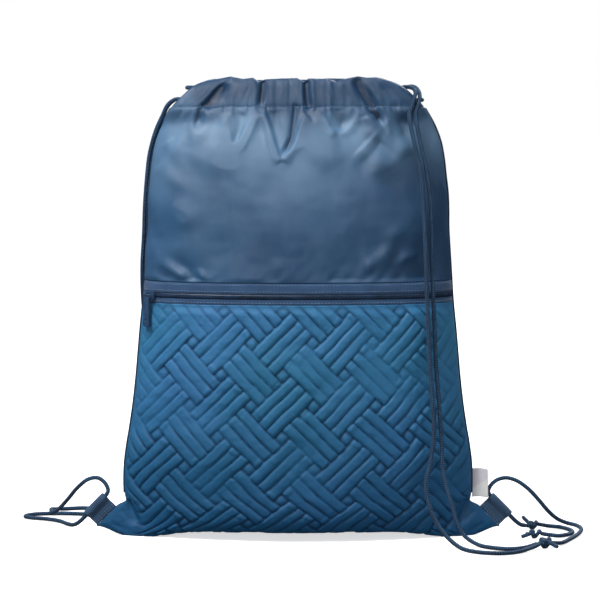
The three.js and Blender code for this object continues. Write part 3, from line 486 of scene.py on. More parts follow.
def shell(name, outer, inner, uv, painted_shade=None, back=False):
    """A closed piece of cloth between two grids."""
    rows, columns = outer.shape[:2]
    vertices = np.concatenate([outer.reshape(-1, 3), inner.reshape(-1, 3)])
    if back:
        vertices = vertices * np.array([1, -BACK_FULLNESS, 1])
    size = rows * columns
    right, top = columns - 1, size - columns
    rim = np.array([*range(right), *range(right, top + right, columns),
                    *range(top + right, top, -1), *range(top, 0, -columns)])
    following = np.roll(rim, -1)
    edge = np.stack([following, rim, rim + size, following + size], axis=-1)
    faces = np.concatenate([quads(rows, columns, 0), quads(rows, columns, size, flip=True), edge])
    if back:
        faces = faces[:, ::-1]
    uv = np.concatenate([uv.reshape(-1, 2)] * 2)
    depth = None if painted_shade is None else np.concatenate([painted_shade.ravel(), np.zeros(size)])
    return make_mesh(name, vertices, faces, uv, depth)


def panel(name, face, height, wall, back=False, painted_shade=None):
    """A panel of cloth raised by a height over a face, as thick as wall."""
    normal = face.normals()
    sewn = np.abs(face.shares) > 0.9999
    normal = np.where(sewn[..., None], np.array([0, -1, 0]), normal)
    outer = face.points() + normal * height[..., None]
    inner = outer - normal * np.broadcast_to(wall, height.shape)[..., None]
    outer[..., 1] = np.minimum(outer[..., 1], -GAP / 2)
    outer[..., 2] = np.maximum(outer[..., 2], 0.0)
    inner[..., 1] = np.where(sewn, 0.0, np.minimum(inner[..., 1], -GAP / 2))
    inner[..., 2] = np.maximum(inner[..., 2], 0.2 * MM)
    uv = np.stack([face.along, face.up + 0 * face.along], axis=-1)
    return shell(name, outer, inner, uv, painted_shade, back)


def finish_piece(piece, material, node=None, body=BAG):
    """Gives a piece its material and body, and hides the solid that it stands for."""
    piece.data.materials.clear()
    piece.data.materials.append(material)
    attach(piece, body)
    if node is not None:
        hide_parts(node)


def changed(piece, change, flip=False):
    """Moves each vertex of a piece to where a function of its place says."""
    for vertex in piece.data.vertices:
        vertex.co = change(vertex.co)
    if flip:
        piece.data.flip_normals()
    return piece


# Materials

class Finish:
    """A material with helpers for its nodes."""

    def __init__(self, name, colour, roughness, **sockets):
        self.material = bpy.data.materials.new(name)
        self.material.use_nodes = True
        self.tree = self.material.node_tree
        self.shader = self.tree.nodes["Principled BSDF"]
        self.shader.inputs["Base Color"].default_value = colour
        self.shader.inputs["Roughness"].default_value = roughness
        for socket, value in sockets.items():
            self.shader.inputs[socket.replace("_", " ")].default_value = value

    def feed(self, socket, value):
        """Links a node's output to a socket, or sets the socket to a constant."""
        if isinstance(value, bpy.types.NodeSocket):
            self.tree.links.new(value, socket)
        else:
            socket.default_value = value

    def node(self, kind, sockets=None, **settings):
        node = self.tree.nodes.new(kind)
        for key, value in settings.items():
            setattr(node, key, value)
        for socket, value in (sockets or {}).items():
            self.feed(node.inputs[socket], value)
        return node

    def math(self, operation, *values):
        return self.node("ShaderNodeMath", dict(enumerate(values)), operation=operation).outputs[0]

    def times(self, a, b):
        return self.math("MULTIPLY", a, b)

    def plus(self, a, b):
        return self.math("ADD", a, b)

    def less(self, a, b):
        return self.math("SUBTRACT", a, b)

    def place(self):
        return self.node("ShaderNodeTexCoord").outputs["Object"]

    # The per-vertex painted shade of creases and stitch lines.
    def painted_shade(self):
        return self.node("ShaderNodeAttribute", attribute_name="painted_shade").outputs["Fac"]

    def noise(self, scale, detail=4.0, roughness=0.55, stretch=None):
        place = self.place()
        if stretch is not None:
            place = self.node("ShaderNodeMapping", {"Vector": place, "Scale": stretch}).outputs[0]
        sockets = {"Vector": place, "Scale": scale, "Detail": detail, "Roughness": roughness}
        return self.node("ShaderNodeTexNoise", sockets).outputs["Fac"]

    def uv(self):
        coordinates = self.node("ShaderNodeUVMap", uv_map="cloth").outputs[0]
        return self.node("ShaderNodeSeparateXYZ", {"Vector": coordinates}).outputs[:2]

    def sine(self, value, pitch):
        return self.math("SINE", self.times(value, 2 * math.pi / pitch))

    def weave(self, pitch):
        """A plain weave: crossing threads that pass over and under each other."""
        across, up = self.uv()
        return self.times(self.sine(across, pitch), self.sine(up, pitch))

    def mix(self, factor, low, high):
        node = self.node("ShaderNodeMix", {0: factor}, data_type="RGBA")
        self.feed(node.inputs[6], low)
        self.feed(node.inputs[7], high)
        return node.outputs[2]

    def ramp(self, factor, low, high):
        sockets = {"Value": factor, "From Min": low, "From Max": high}
        return self.node("ShaderNodeMapRange", sockets).outputs[0]

    def clouds(self, scale, detail, low, high, first, second):
        """Two colours that change places in soft clouds."""
        return self.mix(self.ramp(self.noise(scale, detail), low, high), srgb(first), srgb(second))

    def paint(self, colour):
        self.feed(self.shader.inputs["Base Color"], colour)

    def rough(self, scale, detail, low, high):
        """Roughness that varies with a noise."""
        self.feed(self.shader.inputs["Roughness"], self.ramp(self.noise(scale, detail), low, high))

    def bump(self, *layers):
        """Bump from pairs of a height and its depth in metres."""
        sockets = {"Strength": 1.0}
        for height, distance in layers:
            sockets.update({"Height": height, "Distance": distance})
            sockets["Normal"] = self.node("ShaderNodeBump", sockets).outputs["Normal"]
        self.feed(self.shader.inputs["Normal"], sockets["Normal"])


def srgb(text):
    """Linear colour of a hex code."""
    parts = [int(text[i:i + 2], 16) / 255 for i in (1, 3, 5)]
    linear = [p / 12.92 if p <= 0.04045 else ((p + 0.055) / 1.055)**2.4 for p in parts]
    return (*linear, 1.0)


def lit_and_shaded(finish, colour, light, dark):
    """Painted light and shade by place on the bag: a painted highlight below the hem, painted shade on the
    hem and low on the right, with wandering edges.
    """
    right, _, height = finish.node("ShaderNodeSeparateXYZ", {"Vector": finish.place()}).outputs
    # A painted highlight on the upper cloth, faded out on the hem; noise makes its edges wander.
    upper = finish.ramp(finish.plus(height, finish.times(finish.noise(15.0, 2.0), 0.1)), 0.365, 0.45)
    lobes = finish.times(finish.noise(27.0, 1.5, 0.5, (1.0, 1.0, 0.45)), 0.08)
    on_hem = finish.ramp(finish.plus(height, lobes), HEM_LOW + 14 * MM, HEM_LOW + 50 * MM)
    lit = finish.times(upper, finish.less(0.62, finish.times(on_hem, 0.55)))
    colour = finish.mix(lit, colour, srgb(light))
    # Painted shade on the hem.
    colour = finish.mix(finish.times(on_hem, 0.7), colour, srgb(dark))
    # Painted shade low on the right, on the side away from the key light.
    lower_right = finish.times(finish.ramp(right, 0.02, 0.12), finish.less(1.0, upper))
    return finish.mix(finish.times(lower_right, 0.6), colour, srgb(dark))


def nylon(name, base, deep, light, shaded=None):
    """Satin nylon with cloudy colour, paler streaks, painted shade in its creases, painted light and shade
    by place when given shaded colours, and a crumpled surface.
    """
    finish = Finish(name, srgb(base), 0.36, Sheen_Weight=0.08, Sheen_Roughness=0.4,
                    Sheen_Tint=srgb("#9fb2d8"), Specular_IOR_Level=0.55)
    colour = finish.clouds(11.0, 3.0, 0.35, 0.65, deep, base)
    streaks = finish.ramp(finish.noise(26.0, 5.0, 0.6, (1.0, 1.0, 0.45)), 0.5, 0.75)
    colour = finish.mix(finish.times(streaks, 0.35), colour, srgb(light))
    if shaded is not None:
        colour = lit_and_shaded(finish, colour, *shaded)
    # Painted shade down in the creases, read from a per-vertex attribute.
    finish.paint(finish.mix(finish.painted_shade(), srgb("#163150"), colour))
    finish.rough(40.0, 4.0, -0.7, 2.0)
    crumple = finish.noise(38.0, 3.0, 0.45, (1.0, 1.0, 0.6))
    finish.bump((finish.weave(0.6 * MM), 0.03 * MM), (crumple, 1.1 * MM))
    return finish.material


def quilt_cloth():
    """Matt satin, darkened by painted shade towards the floor and in the stitch lines, and puckered along
    them.
    """
    finish = Finish("quilt_satin", srgb("#34668f"), 0.42, Sheen_Weight=0.04, Sheen_Roughness=0.35,
                    Sheen_Tint=srgb("#8fb6dd"), Specular_IOR_Level=0.24)
    colour = finish.clouds(9.0, 3.0, 0.35, 0.65, "#2f77a1", "#3a7ab0")
    # Painted shade: the cloth darkens towards the floor, where it gets less of the light from above.
    height = finish.node("ShaderNodeSeparateXYZ", {"Vector": finish.place()}).outputs[2]
    colour = finish.mix(finish.ramp(height, -0.01, 0.17), srgb("#0f4f7d"), colour)
    # Painted shade down in the stitch lines, read from a per-vertex attribute.
    finish.paint(finish.mix(finish.ramp(finish.painted_shade(), 0.0, 0.75), srgb("#0a2f55"), colour))
    finish.rough(60.0, 4.0, -1.0, 1.8)
    pucker = finish.noise(190.0, 3.0, 0.6)
    crease = finish.noise(85.0, 4.0, 0.6)
    finish.bump((finish.weave(0.5 * MM), 0.025 * MM), (pucker, 0.5 * MM), (crease, 1.1 * MM))
    return finish.material


def tape_cloth(name, base, light, ribs):
    """Woven tape with ribs across it."""
    finish = Finish(name, srgb(base), 0.7, Sheen_Weight=0.2)
    across, up = finish.uv()
    rows = finish.sine(up, ribs)
    threads = finish.times(rows, finish.sine(across, ribs * 0.8))
    finish.paint(finish.clouds(70.0, 4.0, 0.3, 0.8, base, light))
    finish.bump((threads, 0.12 * MM), (rows, 0.1 * MM))
    return finish.material


def cord_cloth():
    """A braid of strands that lean both ways, with a painted highlight where they stand highest."""
    finish = Finish("braided_cord", srgb("#1c4468"), 0.7, Sheen_Weight=0.08, Specular_IOR_Level=0.3)
    along, turn = finish.uv()
    wave = finish.times(along, 2 * math.pi / BRAID_PITCH)
    lean = finish.times(turn, 2 * math.pi * CARRIERS)
    strands = finish.times(finish.math("SINE", finish.plus(wave, lean)),
                           finish.math("SINE", finish.less(wave, lean)))
    colour = finish.clouds(90.0, 3.0, 0.35, 0.7, "#11304f", "#1c4468")
    # A painted highlight on the raised crowns of the strands.
    strand_highlight = finish.times(finish.ramp(strands, 0.35, 0.9), 0.75)
    finish.paint(finish.mix(strand_highlight, colour, srgb("#5e8fba")))
    finish.bump((strands, 0.3 * MM), (finish.noise(900.0, 2.0), 0.1 * MM))
    return finish.material


def grained(name, base, roughness, clouds, grain, **sockets):
    """A plain finish with clouds of two colours, and a grain given as scale, detail and depth."""
    finish = Finish(name, srgb(base), roughness, **sockets)
    finish.paint(finish.clouds(*clouds))
    finish.bump((finish.noise(*grain[:2]), grain[2]))
    return finish


def painted_metal():
    clouds = (160.0, 4.0, 0.3, 0.8, "#223f63", "#365a84")
    finish = grained("blue_paint", "#29496e", 0.3, clouds, (420.0, 3.0, 0.04 * MM),
                     Coat_Weight=0.5, Coat_Roughness=0.15)
    finish.rough(240.0, 5.0, -1.0, 2.2)
    return finish.material


def coil_plastic():
    clouds = (120.0, 3.0, 0.3, 0.7, "#10263f", "#1f4066")
    grain = (700.0, 2.0, 0.05 * MM)
    return grained("zip_coil", "#152f4e", 0.38, clouds, grain, Specular_IOR_Level=0.5).material


def thread():
    clouds = (500.0, 2.0, 0.3, 0.7, "#44688f", "#7395b8")
    grain = (1500.0, 2.0, 0.05 * MM)
    return grained("sewing_thread", "#54799f", 0.6, clouds, grain, Sheen_Weight=0.3).material


def label_satin():
    """White satin, a little darker above a slanting line."""
    finish = Finish("label_satin", srgb("#e4e5e6"), 0.4, Sheen_Weight=0.3)
    across, up = finish.uv()
    lean = finish.plus(up, finish.times(across, 0.6))
    upper = finish.ramp(lean, LABEL_HEIGHT * 0.98, LABEL_HEIGHT * 1.02)
    cloth = finish.clouds(60.0, 4.0, 0.35, 0.7, "#fbfdfd", "#ffffff")
    finish.paint(finish.mix(upper, cloth, srgb("#eeeaf3")))
    finish.bump((finish.weave(0.45 * MM), 0.04 * MM), (finish.noise(150.0, 3.0), 0.25 * MM))
    return finish.material


# Colours that nylon paints by place: the pale painted highlight, then the dark painted shade.
SHADED = ("#789fc2", "#103a60")
NYLON = nylon("satin_nylon", "#35618a", "#254e76", "#48759e", SHADED)
# The hem's nylon is a darker copy of the front's: partly painted shade of the hem facing up and back,
# partly its doubled cloth.
HEM_NYLON = nylon("gathered_nylon", "#265781", "#1a4b75", "#3b6b95", SHADED)
BACK_NYLON = nylon("back_nylon", "#366088", "#295378", "#457199")
QUILT_CLOTH = quilt_cloth()
ZIP_TAPE = tape_cloth("zip_tape", "#204b79", "#2f5f90", 1.0 * MM)
WEBBING_CLOTH = tape_cloth("webbing", "#1f4469", "#2d587d", 1.3 * MM)
COIL = coil_plastic()
PAINT = painted_metal()
BRAID = cord_cloth()
THREAD = thread()
SATIN = label_satin()


# Camera and light

CAMERA_AT, CAMERA_AIM = (1.9 * MM, -2.389, 0.448), (1.9 * MM, 0, 0.222)
SENSOR, LENS = 36, 154
# Lights: name, place, height that they aim at, size, power, colour, seen only as gloss
LIGHTS = [
    ("key", (-0.95, -0.95, 2.15), 0.25, 0.6, 46, (1.0, 0.99, 0.97), False),
    ("gloss", (-0.45, -2.0, 1.6), 0.36, 0.7, 22, (1, 1, 1), True),
    ("back_gloss", (0.5, 2.0, 1.6), 0.36, 0.7, 12, (1, 1, 1), True),
    ("fill", (1.7, -1.8, 0.9), 0.2, 1.4, 2, (0.93, 0.96, 1.0), False),
    ("back", (0.9, 1.7, 1.9), 0.2, 0.9, 34, (0.97, 0.98, 1.0), False),
]
# The world's grey by height, from straight down to straight up
WORLD_GREYS = ((0.0, 0.1), (0.4, 0.22), (0.47, 1.0), (0.57, 1.0), (0.66, 0.34), (1.0, 0.5))
FLOOR_REACH, FLOOR_GLOW = 12, 0.62


def aimed(name, data, place, target):
    """A camera or light at a place, turned to a target."""
    thing = bpy.data.objects.new(name, data)
    thing.location = place
    thing.rotation_euler = (Vector(target) - thing.location).to_track_quat("-Z", "Y").to_euler()
    bpy.context.scene.collection.objects.link(thing)
    return thing


def add_camera():
    data = bpy.data.cameras.new("camera")
    data.sensor_width = SENSOR
    data.lens = LENS
    bpy.context.scene.camera = aimed("camera", data, CAMERA_AT, CAMERA_AIM)


def add_light(name, place, height, size, power, colour, gloss_only):
    data = bpy.data.lights.new(name, "AREA")
    data.size = size
    data.energy = power
    data.color = colour
    aimed(name, data, place, (0, 0, height)).visible_diffuse = not gloss_only


def add_stage():
    corners = [(x * FLOOR_REACH, y * FLOOR_REACH, 0) for x, y in ((-1, -1), (1, -1), (1, 1), (-1, 1))]
    floor = make_mesh("floor", corners, [(0, 1, 2, 3)])
    white = Finish("floor_white", (0.9, 0.9, 0.9, 1), 0.9, Specular_IOR_Level=0.0,
                   Emission_Color=(1, 1, 1, 1), Emission_Strength=FLOOR_GLOW)
    floor.data.materials.append(white.material)
    floor.visible_diffuse = False
    floor.visible_glossy = False


def add_world():
    """Soft grey light all round, white near the horizon."""
    world = bpy.data.worlds.new("studio")
    world.use_nodes = True
    tree = world.node_tree
    place, split, level, shade = (tree.nodes.new("ShaderNode" + kind)
                                  for kind in ("TexCoord", "SeparateXYZ", "MapRange", "ValToRGB"))
    while len(shade.color_ramp.elements) < len(WORLD_GREYS):
        shade.color_ramp.elements.new(0.5)
    for element, (position, grey) in zip(shade.color_ramp.elements, WORLD_GREYS):
        element.position = position
        element.color = (grey, grey, grey, 1)
    level.inputs["From Min"].default_value = -1
    tree.links.new(place.outputs["Generated"], split.inputs[0])
    tree.links.new(split.outputs[2], level.inputs["Value"])
    tree.links.new(level.outputs[0], shade.inputs[0])
    tree.links.new(shade.outputs[0], tree.nodes["Background"].inputs["Color"])
    tree.nodes["Background"].inputs["Strength"].default_value = 1.0
    world.cycles_visibility.glossy = False
    bpy.context.scene.world = world
    bpy.context.scene.view_settings.view_transform = "Standard"


add_camera()
add_stage()
add_world()
for light in LIGHTS:
    add_light(*light)


# Cords

def smooth_route(points, step):
    """A centripetal curve through millimetre points, in metres and even steps."""
    points = np.array(points, dtype=float) * MM
    padded = np.array([2 * points[0] - points[1], *points, 2 * points[-1] - points[-2]])
    fine = []
    for i in range(1, len(padded) - 2):
        p0, p1, p2, p3 = padded[i - 1:i + 3]
        spans = np.linalg.norm(np.diff(padded[i - 1:i + 3], axis=0), axis=1)**0.5
        t0, t1, t2, t3 = np.concatenate([[0], np.cumsum(spans)])
        t = np.linspace(t1, t2, 25)[:-1, None]
        a1 = (t1 - t) / (t1 - t0) * p0 + (t - t0) / (t1 - t0) * p1
        a2 = (t2 - t) / (t2 - t1) * p1 + (t - t1) / (t2 - t1) * p2
        a3 = (t3 - t) / (t3 - t2) * p2 + (t - t2) / (t3 - t2) * p3
        b1 = (t2 - t) / (t2 - t0) * a1 + (t - t0) / (t2 - t0) * a2
        b2 = (t3 - t) / (t3 - t1) * a2 + (t - t1) / (t3 - t1) * a3
        fine.append((t2 - t) / (t2 - t1) * b1 + (t - t1) / (t2 - t1) * b2)
    fine = np.concatenate(fine + [points[-1:]])
    lengths = lengths_along(fine)
    count = max(int(round(lengths[-1] / step)), 8)
    return at_lengths(np.linspace(0, lengths[-1], count + 1), lengths, fine), lengths[-1]


def cord_frames(route):
    """Two directions across the route at each of its points, turned as little as possible."""
    tangents = unit(np.gradient(route, axis=0))
    side = unit(np.cross(tangents[0], [0.3, 0.2, 0.9]))
    sides = []
    for tangent in tangents:
        side = unit(side - tangent * np.dot(side, tangent))
        sides.append(side)
    sides = np.array(sides)
    return sides, np.cross(tangents, sides)


def braided_tube(name, route, radius, sides=14, carriers=CARRIERS, pitch=BRAID_PITCH, ends=0.9):
    """A tube whose surface rises and falls with the strands of its braid."""
    first, second = cord_frames(route)
    lengths = lengths_along(route)[:, None]
    turn = np.linspace(0, 2 * math.pi, sides, endpoint=False)[None, :]
    wave = 2 * math.pi * lengths / pitch
    strands = np.sin(wave + carriers * turn) * np.sin(wave - carriers * turn)
    from_end = np.minimum(lengths, lengths[-1] - lengths)
    taper = 1 - (1 - ends) * (1 - smoothstep(from_end, 0, 1.2 * radius))
    size = radius * (0.97 + 0.05 * strands) * taper
    offset = first[:, None, :] * np.cos(turn)[..., None] + second[:, None, :] * np.sin(turn)[..., None]
    rings = route[:, None, :] + size[..., None] * offset
    rings[..., 2] = np.maximum(rings[..., 2], 0.05 * MM)
    count = len(route)
    vertices = np.concatenate([rings.reshape(-1, 3), route[:1], route[-1:]])
    faces = [tuple(face) for face in quads(count, sides, closed=True)]
    low, high = count * sides, count * sides + 1
    for k in range(sides):
        after = (k + 1) % sides
        faces.append((low, after, k))
        faces.append((high, (count - 1) * sides + k, (count - 1) * sides + after))
    uv = np.stack([lengths + 0 * turn, turn / (2 * math.pi) + 0 * lengths], axis=-1).reshape(-1, 2)
    uv = np.concatenate([uv, uv[:1], uv[-1:]])
    return make_mesh(name, vertices, faces, uv)


def free_cord(node, points):
    """A strand that lies free from its tunnel or knot to its next knot."""
    route, length = smooth_route(points, CORD_STEP)
    piece = braided_tube(node + "_braid", route, CORD / 2)
    finish_piece(piece, BRAID, node)


for node, points in (("cord_right_a", RIGHT_A), ("cord_right_b", RIGHT_B), ("cord_right_arch", RIGHT_ARCH),
                     ("cord_right_loop", RIGHT_LOOP), ("cord_left_c", LEFT_C), ("cord_left_d", LEFT_D)):
    free_cord(node, points)


def hem_cord(side, share):
    """Points of a cord's stretch in the tunnels, in millimetres."""
    height = HEIGHT - HEM_WIDTH * share
    width, depth, bulge = section_at(height)
    angles = np.array([(1 - 0.2 * i) * CORD_MOUTH * math.pi / 2 for i in range(11)] + [math.pi / 2])
    vent = VENT_DEPTH * smoothstep(height, HEM_LOW - VENT_HEIGHT, HEM_LOW)
    y = HEM_DEPTH / 2 - (GAP / 2 + CLOTH + vent + (depth - vent) * np.maximum(np.cos(angles), 0)**bulge)
    x = width * np.sin(angles) * side
    front = [(a, b, height) for a, b in zip(x[:-1], y[:-1])]
    front.append((-side * (width + 1 * MM), y[-1], height))
    back = [(a, -b * BACK_FULLNESS, c) for a, b, c in reversed(front)]
    bight = (-side * (width + CORD), 0.0, height)
    return [tuple(part / MM for part in point) for point in front + [bight] + back]


for node, side, share in (("cord_right_hem", 1, 0.3), ("cord_left_hem", -1, 0.72)):
    route, _ = smooth_route(hem_cord(side, share), 2 * CORD_STEP)
    finish_piece(braided_tube(node + "_braid", route, CORD / 2), BRAID, node)


def tied_knot(node, place, toward, radius):
    """An overhand knot pulled tight: turns of cord round the cord."""
    place = np.array(place) * MM
    axis = unit(np.array(toward, dtype=float))
    side = np.cross(axis, [0, 0, 1.0])
    up = np.cross(side, axis)
    turn_radius = max(radius * MM - STRAND, 0.6 * STRAND)
    share = np.linspace(0, 1, 90)
    turn = 2 * math.pi * KNOT_TURNS * share
    along = (share - 0.5) * KNOT_WIDTH + 1.6 * MM * np.sin(turn * 0.5)
    swing = turn_radius * (1 + 0.12 * np.sin(3 * turn))
    route = place + axis * along[:, None] + side * (swing * np.cos(turn))[:, None]
    route = route + up * (swing * 0.92 * np.sin(turn))[:, None]
    route = np.array([place - axis * KNOT_REACH, *route, place + axis * KNOT_REACH])
    points, _ = smooth_route(route / MM, TAIL_STEP)
    points[:, 2] = np.maximum(points[:, 2], STRAND + 0.1 * MM)
    finish_piece(braided_tube(node + "_tied", points, STRAND, sides=12), BRAID, node)


for knot in KNOTS:
    tied_knot(*knot)
for name, points in TAILS.items():
    route, _ = smooth_route(points, TAIL_STEP)
    finish_piece(braided_tube(name, route, STRAND, sides=12, ends=0.85), BRAID)


# Quilted pocket

def dome(distance, power):
    """Section of a puff, 1 in its middle and 0 at half a rib's width."""
    return np.sqrt(np.clip(1 - (2 * np.abs(distance))**power, 0, 1))


def quilting(along, up):
    """Height of the basket-weave quilting from 0 in a stitch line to 1 on a rib."""
    right, left = (lean / (math.sqrt(2) * RIB_WIDTH) + 0.07 * noise_field(along, up, 16 * MM, 16 * MM, seed)
                   for lean, seed in ((along + up, 3), (up - along, 4)))
    left = left - FIRST_BLOCK_OVER
    block_right, block_left = np.round(right / BLOCK_PITCH), np.round(left / BLOCK_PITCH)
    p, q = right - BLOCK_PITCH * block_right, left - BLOCK_PITCH * block_left
    leans_right = (block_right + block_left) % 2 == 0
    lengthwise, beside = np.where(leans_right, p, q), np.where(leans_right, q, p)
    own = np.abs(beside) <= BLOCK_REACH
    neighbour = ~own & (np.abs(lengthwise) <= BLOCK_REACH)
    across = np.where(own, beside, lengthwise)
    rib = np.round(across)
    end = np.where(own, BLOCK_PITCH / 2 + 0.5 - np.abs(lengthwise), np.abs(beside) - BLOCK_REACH)
    over = np.where(own, block_right, block_right + np.where(leans_right, 0, 1) * np.sign(beside))
    number = 7.31 * over + 3.17 * block_left + 1.93 * rib + 5.7 * own
    random = np.modf(np.abs(np.sin(number * 12.9898) * 43758.5453))[0]
    skew = 0.16 * (random - 0.5)
    offset = across - rib - skew
    offset = offset / np.where(offset > 0, 1 - 2 * skew, 1 + 2 * skew)
    ends = dome(np.clip(0.5 - end / 0.55, 0, 0.5), 2.2)
    ribs = dome(offset, 3.4) * ends * (0.8 + 0.3 * random)
    corner = dome(np.abs(lengthwise) - 2, 2.2) * dome(np.abs(beside) - 2, 2.2) * 0.8
    return np.where(own | neighbour, ribs, corner)


def quilted_panel():
    """The padded pocket, flat at its seams and in its corners, its stitch lines sunk into the padding and
    darkened with painted shade.
    """
    top = up_the_cloth(POCKET_TOP - GAP)
    lengths = np.linspace(0, top, int(top / FRONT_STEP) + 1)
    face = Face(lengths, even_shares(POCKET_ACROSS, FRONT_STEP), POCKET_TOP / 2, QUILT_EDGE)
    ear = smoothstep(np.abs(face.x), 140 * MM, 157 * MM) * (1 - smoothstep(face.z, 26 * MM, 40 * MM))
    side = face.within(0.9)
    seam = smoothstep(face.up, 1 * MM, 12 * MM) * (1 - smoothstep(face.up, top - 10 * MM, top - 2 * MM))
    quilt = quilting(face.along, face.up - BODY_START + FIRST_ROW) * (1 - ear)
    flatness = 0.5 + 0.5 * noise_field(face.along, face.up, 38 * MM, 30 * MM, 13)
    loft = 0.62 + 0.6 * smoothstep(flatness, 0.15, 0.6)
    height = QUILT_LOFT * (quilt * 1.3 - 0.3 * (1 - ear)) * loft
    height = height + waves(face.along, face.up, POCKET_FINE) * (1 - ear)
    height = height + waves(face.along, face.up, POCKET_SOFT) + 1.3 * MM * ear
    height = height * side * seam + corner_creases(face) * side
    height = np.minimum(height, QUILT_LOFT * 1.25)
    thick = QUILT_EDGE + (QUILT - QUILT_EDGE) * side * seam
    # Painted shade for the material: dark down in the stitch lines and near the seams, an even mid value
    # where the quilting is flat.
    seen = side * (1 - ear) * smoothstep(loft, 0.5, 1.0)
    painted_shade = np.clip(quilt, 0, 1) * seen + 0.75 * (1 - seen)
    painted_shade = painted_shade * (0.55 + 0.45 * seam) + 0.2 * (1 - seam)
    piece = panel("quilted_pocket", face, height, thick, painted_shade=painted_shade)
    finish_piece(piece, QUILT_CLOTH, "quilted_panel")


quilted_panel()


# Plain panels

def hem_ripple(x, z, folds, seed):
    """Ripple of the gathered hem, the same on both sides of its stitch line."""
    ripple = gathers(x, z, 1.0 * MM, seed, 60 * MM, 9 * MM) + waves(x, z, [(*HEM_FINE, seed + 1)])
    if folds:
        ripple = ripple + fold_field(x, z, folds)
    return np.clip(ripple, -3.5 * MM, 1.8 * MM)


def crease_shade(height):
    """1 on open cloth, falling to 0 down in a crease."""
    return smoothstep(height, -5.6 * MM, -0.8 * MM)


def tucked(height, x, z, side, folds, seed):
    """Brings a panel's top edge to the hem's ripple, and just under the hem's own cloth."""
    share = smoothstep(z, HEM_LOW - 14 * MM, HEM_LOW - 1 * MM)
    height = height * (1 - share) + hem_ripple(x, z, folds, seed) * side * share
    return height - LAP * smoothstep(z, HEM_LOW + 0.3 * MM, HEM_LOW + TUCK)


def plain_face(low, high, half, step):
    """The face of a plain panel between two lengths up the cloth."""
    return Face(np.linspace(low, high, int((high - low) / step)), even_shares(half, step), HEIGHT / 2)


def upper_front():
    """The plain front, with the photo's main folds, gathers below the hem and puckers at the zip."""
    face = plain_face(up_the_cloth(NYLON_LOW + GAP), up_the_cloth(HEM_LOW + TUCK), FRONT_ACROSS, FRONT_STEP)
    x, z = face.x, face.z
    top_fade = 1 - smoothstep(z, HEM_LOW - 3 * MM, HEM_LOW)
    low_fade = smoothstep(z, NYLON_LOW, NYLON_LOW + 5 * MM)
    side = face.within(0.95, 0.999)
    soft = waves(x, z, FRONT_SOFT)
    above_zip = z - NYLON_LOW
    pucker = noise_field(x - 0.6 * above_zip, z, 7.5 * MM, 40 * MM, 26) * np.exp(-above_zip / (15 * MM))
    height = 1.3 * fold_field(x, z, FRONT_FOLDS) * (0.4 + 0.6 * top_fade)
    height = height + gathers(x, z, 0.9 * MM, 21, 46 * MM, 11 * MM)
    height = height + (soft + waves(x, z, FRONT_FINE)) * top_fade + 0.9 * MM * pucker
    height = np.clip(height * low_fade * side, -6 * MM, 3.4 * MM)
    # Painted shade down in the creases of the folds.
    painted_shade = crease_shade(height - 0.6 * soft)
    height = tucked(height, x, z, side, FRONT_FOLDS, FRONT_SEED)
    piece = panel("front_nylon", face, height, THIN_CLOTH, painted_shade=painted_shade)
    finish_piece(piece, NYLON, "upper_front")


def back_panel():
    """The one panel of the back, with long gathers, kept low where the left cord lies on it."""
    face = plain_face(0.0, up_the_cloth(HEM_LOW + TUCK), BACK_ACROSS, BACK_STEP)
    x, z = face.x, face.z
    side = face.within(0.93)
    foot = smoothstep(face.up, 2 * MM, 16 * MM)
    height = gathers(x, z, 3.6 * MM, 31, 150 * MM, 19 * MM) + gathers(x, z, 1.5 * MM, 32, 60 * MM, 10 * MM)
    height = (height + waves(x, z, BACK_SOFT + BACK_FINE)) * side * foot + corner_creases(face) * side
    near_cord = smoothstep(-x, 124 * MM, 130 * MM)
    height = np.where(height > 0, height * (1 - near_cord), height)
    height = np.clip(height, -5 * MM, 2.4 * MM)
    # Painted shade down in the creases of the gathers.
    painted_shade = crease_shade(height)
    height = tucked(height, x, z, side, None, BACK_SEED)
    piece = panel("back_nylon_panel", face, height, THIN_CLOTH, back=True, painted_shade=painted_shade)
    finish_piece(piece, BACK_NYLON, "back_panel")


upper_front()
back_panel()


